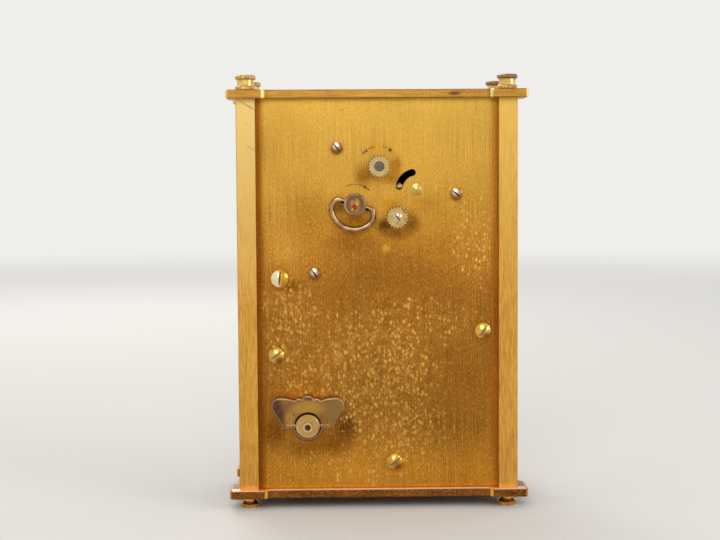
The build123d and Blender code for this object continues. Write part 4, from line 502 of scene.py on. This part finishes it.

# clouds in the lacquer and painted shadows, each its (X, Z), reach along X and Z, depth and colour.
# The brown ones beside and below the two knobs, the winding key's hub and ring, the tall screw and
# the wing are painted shadows, and the gold one above the time knob is painted light.
lacquer_clouds_and_painted_shadows = (
    (-4, 72, 36, 22, 0.80, "#A2661C"), (-20, 44, 24, 30, 0.70, "#A0661E"), (31, 120, 16, 22, 0.50, "#BC8C36"),
    (30, 90, 9, 22, 0.60, "#DCA244"), (22, 94, 12, 13, 0.60, "#A8701E"), (-30, 60, 12, 12, 0.45, "#A66A20"),
    (-25, 84, 14, 9, 0.45, "#B4761F"), (8, 86, 14, 6, 0.75, "#95591A"), (8, 93, 10, 7, 0.70, "#96580F"),
    (12.2, 97, 3.2, 3.0, 0.90, "#7A4A10"), (6.4, 92.6, 5.0, 3.2, 0.75, "#A4630F"),
    (-5.9, 110.5, 2.9, 5.2, 1.0, "#A8620C"), (-5.2, 106.3, 4.0, 3.0, 0.9, "#A46C14"),
    (4.4, 107.4, 4.6, 5.4, 1.0, "#A06A1A"), (0, 116, 7.0, 3.4, 0.5, "#D8981C"),
    (-2.2, 91.2, 4.6, 4.0, 1.0, "#5E3406"), (-10.9, 92.0, 4.2, 5.6, 1.0, "#82500F"),
    (-6, 88.6, 6.5, 3.0, 0.9, "#8A5010"), (-4.4, 98.4, 5.0, 2.6, 0.7, "#C88A20"),
    (-15.5, 98.5, 6.0, 4.4, 0.55, "#B47C24"), (27.5, 72.0, 6.0, 3.6, 0.95, "#8A5210"),
    (31.4, 77.8, 5.0, 2.4, 0.7, "#C07A14"), (10.6, 27.0, 6.0, 9.0, 1.0, "#6A3A08"),
    (14, 21.0, 8.0, 6.0, 0.9, "#8A5010"), (34.0, 25, 5.0, 7.5, 0.95, "#8A500E"),
    (24, 19.6, 10, 5.0, 0.75, "#96560F"), (22.8, 35.6, 13.5, 5.4, 1.0, "#CC6A08"),
    (22.8, 40.6, 15, 4.0, 0.6, "#B06E1A"),
)
clouded = patches(panel_brass, (5.0, 5.0, 12.0), -0.10, 0.55)
for centre_x, centre_z, reach_x, reach_z, depth, colour in lacquer_clouds_and_painted_shadows:
    cloud_and_shadow = around(panel_brass, (centre_x, panel_skin_y, centre_z), (reach_x, 50, reach_z), 0.1)
    cloud_and_shadow = add(panel_brass, "Math", [(0, cloud_and_shadow), (1, depth)], operation="MULTIPLY")
    cloud_and_shadow = add(panel_brass, "Math", [(0, cloud_and_shadow.outputs[0]), (1, clouded)], operation="MULTIPLY")
    film(panel_brass, cloud_and_shadow.outputs[0], colour)

# rusty rims round the screw heads, where the lacquer was broken when they were driven in
screw_rims = ((32.85, 49.82, 4.0), (-33.8, 57.26, 4.2), (-5.15, 14.9, 4.0), (12.91, 116.32, 2.9),
              (-25.35, 101.41, 2.9), (20.25, 76.02, 3.0), (31.42, 74.69, 4.3))
rim_drop, rim_depth = 0.4, 0.8
for centre_x, centre_z, reach in screw_rims:
    rust = around(panel_brass, (centre_x, panel_skin_y, centre_z - rim_drop), (reach, 50, reach), 0.45)
    rust = add(panel_brass, "Math", [(0, rust), (1, rim_depth)], operation="MULTIPLY")
    film(panel_brass, rust.outputs[0], "#AA600A")

# soft flecks, about 1 mm long, where damp has lifted the lacquer from the brass. They stand thick in
# these zones, each its (X, Z), reach along X and Z, and share, over a faint haze.
fleck_zones = ((2, 45, 30, 30, 1.0), (29, 60, 14, 20, 0.85), (-31, 86, 10, 22, 0.70), (-8, 26, 22, 20, 0.9),
               (24, 42, 18, 10, 0.6), (8, 13, 34, 9, 0.6), (-10, 60, 34, 14, 0.55))
haze_depth = 0.34
dense = None
for centre_x, centre_z, reach_x, reach_z, share in fleck_zones:
    zone = around(panel_brass, (centre_x, panel_skin_y, centre_z), (reach_x, 80, reach_z), 0.35)
    zone = add(panel_brass, "Math", [(0, zone), (1, share)], operation="MULTIPLY").outputs[0]
    dense = zone if dense is None else add(panel_brass, "Math", [(0, dense), (1, zone)],
                                           operation="MAXIMUM").outputs[0]
hazy = add(panel_brass, "Math", [(0, patches(panel_brass, (2.6, 2.6, 3.6), 0.42, 0.72)), (1, dense)],
           operation="MULTIPLY")
hazy = add(panel_brass, "Math", [(0, hazy.outputs[0]), (1, haze_depth)], operation="MULTIPLY")
film(panel_brass, hazy.outputs[0], "#D89C48")

# three sizes of fleck, each the cell in mm that holds one, its reach in the cell, depth and offset
fleck_sizes = (((1.45, 60.0, 2.1), 0.50, 0.95, (0, 0, 0)),
               ((1.25, 60.0, 1.6), 0.46, 0.80, (0.5, 0, 0.3)),
               ((0.80, 60.0, 1.2), 0.48, 0.45, (0.3, 0.1, 0.7)))
for cell_mm, fleck_reach, share, offset in fleck_sizes:
    where = add(panel_brass, "Mapping", [("Vector", add(panel_brass, "TexCoord").outputs["Object"]),
                                         ("Location", offset),
                                         ("Scale", [1000 / cell for cell in cell_mm])])
    cells = add(panel_brass, "TexVoronoi", [("Vector", where.outputs[0]), ("Scale", 1.0)])
    fleck = add(panel_brass, "MapRange", [("Value", cells.outputs["Distance"]), ("From Min", fleck_reach),
                                          ("From Max", 0.0)], interpolation_type="SMOOTHSTEP")
    pick = add(panel_brass, "SeparateColor", [(0, cells.outputs["Color"])])
    pick = add(panel_brass, "Math", [(0, dense), (1, pick.outputs[0])], operation="SUBTRACT")
    pick = add(panel_brass, "MapRange", [("Value", pick.outputs[0]), ("From Max", 0.35), ("To Max", share)])
    fleck = add(panel_brass, "Math", [(0, fleck.outputs[0]), (1, pick.outputs[0])], operation="MULTIPLY")
    film(panel_brass, fleck.outputs[0], "#F4BE5C", 0.4)

# one pale spot in the middle, two short nicks under the top plate and a fine bright grain
film(panel_brass, around(panel_brass, (-2.7, panel_skin_y, 84.0), (2.0, 50, 2.0)), "#DCA53C")
for centre_x, centre_z, half_length, lean in ((11.9, 128.5, 0.7, -22), (10.9, 128.3, 0.6, 40)):
    nick = around(panel_brass, (centre_x, panel_skin_y, centre_z), (half_length, 9.0, 0.12), 0.4, lean)
    film(panel_brass, nick, "#7C541C")
film(panel_brass, patches(panel_brass, (0.30, 0.30, 1.1), 0.48, 1.05), "#EEC070")

# the margins beside the posts in a reddish brown: painted shade and a painted reflection of the posts, over
# tarnish in the groove
for side_start, side_full, colour, depth in ((35.9, 37.8, "#8C4A0C", 0.92), (-35.6, -38.2, "#A85E18", 0.88)):
    film(panel_brass, along(panel_brass, "X", side_start, side_full, depth), colour)

# the brushing goes over all of it, rubbed thinner above the keys, with short grain between the lines
# that is drawn 0.3 by 0.95 mm, coarser than the real
rubbed_start_z, rubbed_full_z, rubbed_share = 80.0, 118.0, 0.74
lacquered = shader.inputs["Base Color"].links[0].from_socket
upright = add(panel_brass, "SeparateXYZ", [(0, add(panel_brass, "TexCoord").outputs["Object"])])
rubbed = add(panel_brass, "MapRange", [("Value", upright.outputs["Z"]), ("From Min", rubbed_start_z / 1000),
                                       ("From Max", rubbed_full_z / 1000), ("To Min", 1.0),
                                       ("To Max", rubbed_share)])
grained = add(panel_brass, "Mix", [(0, rubbed.outputs[0]), (6, lacquered), (7, brushed)], data_type="RGBA",
              blend_type="MULTIPLY")
short_grain = add(panel_brass, "MapRange", [("Value", rubbed.outputs[0]), ("From Min", 1.0),
                                            ("From Max", rubbed_share), ("To Min", 0.26), ("To Max", 0.11)])
grained = add(panel_brass, "Mix", [(0, short_grain.outputs[0]), (6, grained.outputs[2]),
                                   (7, patches(panel_brass, (0.30, 1.0, 0.95), 0.30, 0.70, 2.0))],
              data_type="RGBA", blend_type="OVERLAY")
panel_brass.node_tree.links.new(grained.outputs[2], shader.inputs["Base Color"])
dress(panel_brass, "back_panel")


# The arrows on the panel show which way the keys turn: curved lines with plain heads, printed in
# brown ink that has mostly rubbed away. Each is thin enough to lie on the brass as ink does.
time_axis, hub_axis = (-0.5307, 110.24), (7.23, 98.26)
panel_back_y = 17.95
arrow_line, arrow_head = 0.30, 1.10

# rubbed ink: a brown that breaks up and lets the brass through in patches about 1 mm across
worn_ink = worked_metal("Rubbed brown printing ink", "#7C5224", "#5E3A14", 3.0, (0.4, 0.4, 0.4),
                        (0.42, 0.52), 0.001, 0.04, metallic=0.5)
film(worn_ink, patches(worn_ink, (0.9, 0.9, 0.9), 0.44, 0.58), "#C08C38")


def curved_arrow(centre, reach, start, stop):
    """A flat line bent about a centre (X, Z), with its head at stop. Angles are from straight up,
    clockwise as seen on the panel."""
    bpy.ops.object.select_all(action="DESELECT")
    bpy.ops.mesh.primitive_plane_add(size=0.001, location=(0, 0, reach / 1000), rotation=(0, math.pi / 2, 0))
    line = bpy.context.object
    line.scale = (arrow_line, ink_thickness, 1.0)
    bpy.ops.object.transform_apply(location=True, rotation=True, scale=True)
    bpy.ops.object.mode_set(mode="EDIT")
    bpy.ops.mesh.select_all(action="SELECT")
    bpy.ops.mesh.spin(steps=16, angle=math.radians(abs(stop - start)), center=(0, 0, 0),
                      axis=(0, 1 if stop > start else -1, 0))
    bpy.ops.mesh.select_all(action="SELECT")
    bpy.ops.mesh.normals_make_consistent(inside=False)
    bpy.ops.object.mode_set(mode="OBJECT")
    line.rotation_euler = (0, -math.radians(start), 0)
    line.location = (centre[0] / 1000, (panel_back_y + ink_thickness / 2) / 1000, centre[1] / 1000)
    bpy.ops.mesh.primitive_cylinder_add(vertices=3, radius=arrow_head / 1000, depth=ink_thickness / 1000)
    head = bpy.context.object
    head.scale = (0.8, 1.5, 1.0)
    bpy.ops.object.transform_apply(location=False, rotation=False, scale=True)
    way = 1 if stop > start else -1
    head.rotation_euler = (math.pi / 2, -math.radians(stop + 90 * way), 0)
    bend = math.radians(stop)
    head.location = ((centre[0] - reach * math.sin(bend)) / 1000, (panel_back_y + ink_thickness / 2) / 1000,
                     (centre[1] + reach * math.cos(bend)) / 1000)
    return [line, head]


# one arrow each way over the time knob, and one over the winding key
arrows = curved_arrow(time_axis, 6.5, 10, 38) + curved_arrow(time_axis, 6.5, -10, -42)
arrows += curved_arrow(hub_axis, 6.4, -30, 36)
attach(join_as("panel_arrows", arrows, worn_ink), "case")


# The two movements between dial and panel: plates, pillars and wheels of rolled brass, steel screws
# and arbors, blued springs, and the music movement's ground steel comb on its cast bed.

# rolled brass, finely grained: pale and clean, with faint level lines
movement_brass = worked_metal("Grained movement brass", "#D9B364", "#BF9447", 12.0, (7.0, 7.0, 0.2),
                              (0.26, 0.38), 0.003, 0.15)
dress(movement_brass, "front_movement_plate", "movement_pillars", "cannon_pinion",
      "minute_wheel", "hour_wheel", "alarm_wheel", "setting_wheel", "barrel", "barrel_cap",
      "second_wheel", "third_wheel", "escape_wheel", "balance_wheel", "music_spring_drum",
      "music_cylinder", "governor_wheel", "governor_fly", "governor_cage")

# the rear plate is the same, but with painted shade: black where the lever's slot shows it
rear_brass = worked_metal("Grained brass, painted shade behind the lever", "#D9B364", "#BF9447", 12.0,
                          (7.0, 7.0, 0.2), (0.26, 0.38), 0.003, 0.15)
film(rear_brass, around(rear_brass, (-10.4, 14.0, 105.8), (8.0, 9.0, 8.0), 0.8), "#030303", 0.8)
dress(rear_brass, "rear_movement_plate")

# turned steel: a bright neutral grey with a tight, even sparkle
turned_steel = worked_metal("Turned bright steel", "#A9A7A2", "#868480", 5.0, (0.3, 0.3, 0.3),
                            (0.22, 0.34), 0.002, 0.12)
dress(turned_steel, "inner_screws", "barrel_arbor", "ratchet_wheel", "click", "stop_bracket", "pallet_fork")

# spring steel tempered blue: a dark slate blue that drifts along the strip
blued_spring = worked_metal("Blued spring steel", "#5C6880", "#3D4656", 9.0, (6.0, 6.0, 0.2),
                            (0.22, 0.34), 0.002, 0.12)
dress(blued_spring, "mainspring", "hairspring", "music_mainspring")

# ground steel: paler than the turned, with lines along the teeth
comb_steel = worked_metal("Ground comb steel", "#B4B3B0", "#8E8D8A", 6.0, (0.3, 0.3, 8.0), (0.2, 0.32),
                          0.002, 0.15)
dress(comb_steel, "music_comb")

# a casting under bronze lacquer: a dull brown gold with the fine pits of the sand, drawn 0.5 mm wide
bed_bronze = worked_metal("Bronze lacquered casting", "#B08A4C", "#8F6C38", 6.0, (0.5, 0.5, 0.5),
                          (0.42, 0.55), 0.012, 0.12)
dress(bed_bronze, "music_bed_plate")

# the tune on the cylinder: fine steel pins in rows under the comb's teeth, five to a row, each row
# turned on from the last so that they don't line up
cylinder_axis = (2.0, 27.2)
cylinder_radius, pin_stand, pin_root = 6.5, 0.4, 0.3
pin_radius, pin_tip = 0.11, 0.06875
pin_rows, pins_in_row, pin_first_x, pin_pitch_x = 29, 5, -28.4, 1.2
pins = []
for row in range(pin_rows):
    for beat in range(pins_in_row):
        angle = math.radians((row * 47 + beat * 72 + (row * beat * 13) % 31) % 360)
        bpy.ops.mesh.primitive_cone_add(vertices=6, radius1=pin_radius / 1000, radius2=pin_tip / 1000,
                                        depth=(pin_stand + pin_root) / 1000)
        pin = bpy.context.object
        reach = (cylinder_radius + (pin_stand - pin_root) / 2) / 1000
        pin.rotation_euler = (angle, 0, 0)
        pin.location = ((pin_first_x + row * pin_pitch_x) / 1000,
                        cylinder_axis[0] / 1000 - reach * math.sin(angle),
                        cylinder_axis[1] / 1000 + reach * math.cos(angle))
        pins.append(pin)
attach(join_as("cylinder_pins", pins, turned_steel), "music_cylinder")


# The hands: spades pressed from thin steel and stoved black, pushed on their pipes and held by a
# small brass nut. The enamel is a smooth black with a soft gloss and hardly any grain.
hand_black = worked_metal("Black stoved enamel", "#161616", "#0E0E0E", 4.0, (0.6, 0.6, 0.6),
                          (0.25, 0.32), 0.001, 0.04, metallic=0.0)
dress(hand_black, "hour_hand", "minute_hand")


# The two setting knobs: turned from pale brass with a straight knurl, one pressed on a steel
# arbor and one held by a screw in a worn dish.
def knurl_gap_shading(made, axis_mm, teeth, start_mm, full_mm):
    """A mask of the gaps of a knurl about an axis, an (X, Z), from start_mm out to full_mm, for painted shade
    in them.
    """
    where = add(made, "Mapping", [("Vector", add(made, "TexCoord").outputs["Object"]),
                                  ("Location", (-axis_mm[0] / 1000, 0, -axis_mm[1] / 1000)),
                                  ("Scale", (1, 0, 1))])
    spot = add(made, "SeparateXYZ", [(0, where.outputs[0])])
    bearing = add(made, "Math", [(0, spot.outputs["Z"]), (1, spot.outputs["X"])], operation="ARCTAN2")
    tooth = add(made, "Math", [(0, bearing.outputs[0]), (1, teeth)], operation="MULTIPLY")
    tooth = add(made, "Math", [(0, tooth.outputs[0])], operation="COSINE")
    tooth = add(made, "MapRange", [("Value", tooth.outputs[0]), ("From Min", 0.3), ("From Max", -0.5)])
    far = add(made, "VectorMath", [(0, where.outputs[0])], operation="LENGTH")
    far = add(made, "MapRange", [("Value", far.outputs["Value"]), ("From Min", start_mm / 1000),
                                 ("From Max", full_mm / 1000)])
    return add(made, "Math", [(0, tooth.outputs[0]), (1, far.outputs[0])], operation="MULTIPLY").outputs[0]


alarm_axis = (-6.228, 94.093)
knob_face_y, gap_count = 22.9, 20
groove_reaches = (2.5, 2.3)

# turned brass: pale turned rings about the middle, drawn 0.16 mm apart where the tool's are finer, a
# shallow darker groove, and painted shade in brown in every other gap of the knurl
time_brass = worked_metal("Turned pale brass", "#D0B47A", "#BC9A5E", 2.2, (0.16, 1.0, 1.0),
                          (0.24, 0.36), 0.003, 0.15, time_axis)
film(time_brass, knurl_gap_shading(time_brass, time_axis, gap_count, 2.9, 3.1), "#94723C")
discs = [around(time_brass, (time_axis[0], knob_face_y, time_axis[1]), (reach, 9, reach), 0.97)
         for reach in groove_reaches]
ring_line = add(time_brass, "Math", [(0, discs[0]), (1, discs[1])], operation="SUBTRACT")
film(time_brass, ring_line.outputs[0], "#B8935A")
film(time_brass, patches(time_brass, (1.0, 1.0, 1.0), 0.60, 0.70), "#B88C50", 0.42)
dress(time_brass, "time_set_knob")

# the same brass where the screw has worn it: ochre smears in the dish, and a browner knurl whose gaps hold
# painted shade
alarm_brass = worked_metal("Worn turned brass", "#D2B87E", "#BE9C60", 2.2, (0.18, 1.0, 1.0),
                           (0.24, 0.36), 0.003, 0.15, alarm_axis)
film(alarm_brass, knurl_gap_shading(alarm_brass, alarm_axis, gap_count, 2.95, 3.1), "#86622C")
film(alarm_brass, around(alarm_brass, (-8.3, 22.4, 95.9), (1.5, 3.0, 0.45), 0.2, -50), "#A06C22", 0.42)
film(alarm_brass, around(alarm_brass, (-8.9, 22.4, 93.2), (0.45, 3.0, 1.3), 0.2, 10), "#AC7A34", 0.42)
film(alarm_brass, patches(alarm_brass, (1.2, 1.2, 1.2), 0.60, 0.68), "#AD8246", 0.42)
dress(alarm_brass, "alarm_set_knob")

# sawn steel: a brownish grey end, rough and without shine
core_steel = worked_metal("Sawn steel arbor end", "#6E655F", "#58504B", 1.2, (0.2, 1.0, 0.5),
                          (0.35, 0.5), 0.004, 0.25)
dress(core_steel, "time_set_arbor", "alarm_set_arbor")


# The screws: gilt brass with domed heads, polished once, with light and shade painted on the domes:
# paler on the upper side, darker at the rim and the lower side, and painted shade in the slots.
small_heads = ((12.91, 116.32, -55), (-25.35, 101.41, -40), (20.25, 76.02, -55))
large_heads = ((32.85, 49.82, 35), (-33.80, 57.26, 55), (-5.15, 14.90, 38))
head_back_y = 19.0

# small domed heads: copper shows through the gilding, a darker copper that is partly painted shade,
# with a painted highlight on the upper side and painted shade in the slot
small_screw = worked_metal("Worn copper-gilt screw", "#9A7044", "#7E5630", 2.0, (0.3, 0.3, 0.3),
                           (0.16, 0.26), 0.002, 0.1)
for centre_x, centre_z, lean in small_heads:
    film(small_screw, around(small_screw, (centre_x + 0.25, head_back_y, centre_z + 0.45), (1.9, 9.0, 1.6),
                             0.1), "#EAD2A8")
    film(small_screw, around(small_screw, (centre_x, head_back_y, centre_z), (1.9, 9.0, 0.30), 0.75, lean),
         "#33241C", 0.5)
dress(small_screw, "movement_screws")

# large heads: bright polished gold; seen from behind, painted shade makes them brown at the lower
# right, and the slot is painted shade in a grey tan, kept pale for the light on its floor
large_screw = worked_metal("Polished gilt brass screw", "#ECC868", "#CC983C", 2.4, (0.3, 0.3, 0.3),
                           (0.12, 0.22), 0.002, 0.1)
film(large_screw, patches(large_screw, (1.6, 1.6, 1.6), 0.58, 0.66), "#A87A34", 0.35)
for centre_x, centre_z, lean in large_heads:
    film(large_screw, around(large_screw, (centre_x - 1.3, head_back_y, centre_z - 1.7), (2.6, 9.0, 2.2),
                             0.15), "#96601E")
    film(large_screw, around(large_screw, (centre_x, head_back_y, centre_z), (2.6, 9.0, 0.46), 0.80, lean),
         "#B09470", 0.6)
dress(large_screw, "bed_screws")

# the tall head: pale and bright on one side of its slot, orange on the other, with painted shade in the slot
tall_screw = worked_metal("Gilt brass screw, half worn", "#F0D88C", "#D8B050", 2.4, (0.3, 0.3, 0.3),
                          (0.12, 0.22), 0.002, 0.1)
film(tall_screw, along(tall_screw, "X", 31.2, 30.8, 0.85), "#D8901C")
film(tall_screw, along(tall_screw, "X", 31.6, 32.0, 0.8), "#F6EBC4")
film(tall_screw, around(tall_screw, (31.42, 21.0, 74.69), (2.8, 9.0, 0.36), 0.75, 84), "#7E6A3C", 0.5)
dress(tall_screw, "bracket_screw", "hand_nut")

# nickelled brass: a pale straw grey, the coolest of the heads
knob_screw = worked_metal("Nickelled brass screw", "#E2D0A6", "#B49C6E", 1.6, (0.3, 0.3, 0.3),
                          (0.14, 0.24), 0.002, 0.1)
# painted shade in the slot
film(knob_screw, around(knob_screw, (alarm_axis[0], 23.0, alarm_axis[1]), (1.5, 9.0, 0.26), 0.75, -56),
     "#4A3C2C", 0.5)
dress(knob_screw, "alarm_knob_screw")


# The alarm lever: a conical brass stud that turns in the panel and, on an arm behind it, a short
# domed pin that stands out of the curved slot. The arm is painted black as shade inside the panel.
pin_spot, shaded_below_y = (-7.04, 18.6, 103.1), 18.0

# polished brass: a pale gold with a sharp glint, brown on the pin's end, and painted shade in black inside
# the panel
lever_brass = worked_metal("Polished brass stud", "#D8BE70", "#BC9A4C", 1.4, (0.3, 0.3, 0.3),
                           (0.14, 0.24), 0.002, 0.1)
film(lever_brass, around(lever_brass, pin_spot, (1.4, 1.6, 0.9), 0.4), "#8E6248")
film(lever_brass, along(lever_brass, "Y", shaded_below_y, shaded_below_y - 0.1), "#030303", 0.9)
dress(lever_brass, "alarm_lever")


# The winding key: a turned hub on the barrel arbor, worn through its gilding on the face, with
# a D-shaped wire ring that folds down.
ring_joints = ((11.2, 98.75), (3.4, 96.5))

# drawn wire: a pinkish gold where the gilding has thinned to copper, black in the two joints
key_copper = worked_metal("Worn copper-gilt wire", "#C6A47A", "#8C6C4A", 3.0, (1.0, 1.0, 0.3),
                          (0.16, 0.28), 0.001, 0.10)
film(key_copper, patches(key_copper, (1.6, 1.6, 1.6), 0.52, 0.72), "#A07C48", 0.3)
for joint_x, joint_z in ring_joints:
    film(key_copper, around(key_copper, (joint_x, 20.6, joint_z), (1.0, 3.0, 1.0), 0.45), "#2A180C", 0.5)
dress(key_copper, "winding_key_ring")

# the hub's turned face: the gilding is worn off to brown, with patches of old gold and a dark red
# stain, all inside a bright rim. Each patch is its place on the face, reach, lean and colour.
hub_face_y, hub_worn_reach = 22.9, 3.1
face_patches = ((0.0, -0.6, 2.1, 2.7, 22, "#B8863E"), (-0.7, 1.1, 0.8, 1.3, 30, "#B88A4C"),
                (1.0, 0.9, 0.5, 0.9, -20, "#A87C50"), (0.2, -0.9, 1.35, 1.5, 30, "#84301E"),
                (-0.6, 0.2, 0.35, 0.7, 10, "#DCAE50"), (0.9, -1.6, 0.4, 0.7, -20, "#D8A848"))
hub_copper = worked_metal("Worn copper-gilt hub", "#C8A47C", "#9C7650", 3.0, (0.25, 1.0, 1.0),
                          (0.20, 0.34), 0.003, 0.15, hub_axis)
face = along(hub_copper, "Y", 22.6, 22.85)
worn = around(hub_copper, (hub_axis[0], hub_face_y, hub_axis[1]), [hub_worn_reach] * 3, 0.88)
worn = add(hub_copper, "Math", [(0, worn), (1, face)], operation="MULTIPLY")
film(hub_copper, worn.outputs[0], "#70533C", 0.4)
for offset_x, offset_z, reach_x, reach_z, lean, colour in face_patches:
    patch = around(hub_copper, (hub_axis[0] + offset_x, hub_face_y, hub_axis[1] + offset_z),
                   (reach_x, 3.0, reach_z), 0.3, lean)
    patch = add(hub_copper, "Math", [(0, patch), (1, face)], operation="MULTIPLY")
    patch = add(hub_copper, "Math", [(0, patch.outputs[0]),
                                     (1, patches(hub_copper, (0.6, 0.6, 0.9), 0.28, 0.50))],
                operation="MULTIPLY")
    film(hub_copper, patch.outputs[0], colour, 0.35)
dress(hub_copper, "winding_key_hub")


# The music key: a flanged hub screwed on the drum's arbor, with a stamped wing that folds out.
# The wing's gilding is worn to bronze in the middle and tarnished to purple brown at the edges.
music_axis = (22.8, 27.2)
wing_back_y, bead_radius = 20.6, 0.8
wing_wear = (
    (22.8, 32.8, 8.4, 3.8, 0.2, 0, "#B0883E", None), (28.8, 29.6, 3.2, 3.2, 0.2, 0, "#AC8440", None),
    (13.6, 32.0, 5.6, 4.6, 0.2, 0, "#8C6E3E", None), (34.8, 32.2, 5.4, 9.8, 0.5, 20, "#5A3C30", 0.42),
    (22.0, 37.2, 3.6, 2.2, 0.55, 0, "#6A4636", 0.42), (27.0, 36.2, 3.4, 1.5, 0.5, -8, "#70503C", 0.42),
    (14.5, 36.8, 5.6, 1.1, 0.5, 6, "#70503C", 0.42),
)

# a stamping under thin gilding: pebbled all over, drawn 0.42 mm wide, with a pale line where its
# turned-in edge is polished. Each patch of wear is its (X, Z), reach, solid share, lean and colour.
wing_bronze = worked_metal("Tarnished bronze-gilt stamping", "#98703C", "#7C5830", 5.0, (0.42, 0.42, 0.42),
                           (0.36, 0.50), 0.004, 0.55)
for centre_x, centre_z, reach_x, reach_z, inner, lean, colour, dull in wing_wear:
    wear = around(wing_bronze, (centre_x, wing_back_y, centre_z), (reach_x, 6.0, reach_z), inner, lean)
    film(wing_bronze, wear, colour, dull)
film(wing_bronze, patches(wing_bronze, (1.4, 1.4, 1.4), 0.60, 0.70), "#7E5E34", 0.42)
turned_in = add(wing_bronze, "Bevel", [("Radius", bead_radius / 1000)], samples=6)
flat_out = add(wing_bronze, "NewGeometry").outputs["True Normal"]
bead = add(wing_bronze, "VectorMath", [(0, turned_in.outputs[0]), (1, flat_out)], operation="DOT_PRODUCT")
bead = add(wing_bronze, "MapRange", [("Value", bead.outputs["Value"]), ("From Min", 0.975),
                                     ("From Max", 0.88)])
film(wing_bronze, bead.outputs[0], "#C8A680", 0.3)
wing_bronze.node_tree.links.new(turned_in.outputs[0], wing_bronze.node_tree.nodes["Bump"].inputs["Normal"])
dress(wing_bronze, "music_key_wing")

# turned brass: pale turned rings on the raised boss, and painted shade on a browner flange and in a dark gap
# between them
hub_brass = worked_metal("Turned brass hub", "#D8B67A", "#B48C54", 3.0, (0.22, 1.0, 1.0),
                         (0.22, 0.34), 0.003, 0.18, music_axis)
film(hub_brass, around(hub_brass, (music_axis[0], 22.0, music_axis[1]), (3.3, 3.0, 3.3), 0.9), "#BE9A5A")
shaded_flange = along(hub_brass, "Y", 20.9, 20.6)
film(hub_brass, shaded_flange, "#8E6A50", 0.4)
gap_shadow = add(hub_brass, "Math", [(0, shaded_flange), (1, around(hub_brass, (music_axis[0], 20.0, music_axis[1]),
                                                     (4.5, 9.0, 4.5), 0.94))], operation="MULTIPLY")
film(hub_brass, gap_shadow.outputs[0], "#2E1E16", 0.5)
dress(hub_brass, "music_key_hub")

# the arbor's domed end: a pale gold button, dark brown in its middle
stud_brass = worked_metal("Domed brass stud", "#E6CB94", "#C8A468", 1.6, (0.2, 1.0, 1.0),
                          (0.16, 0.28), 0.003, 0.15, music_axis)
film(stud_brass, around(stud_brass, (music_axis[0], 23.6, music_axis[1]), (1.15, 3.0, 1.15), 0.75),
     "#6A4A38", 0.5)
dress(stud_brass, "music_spring_arbor")
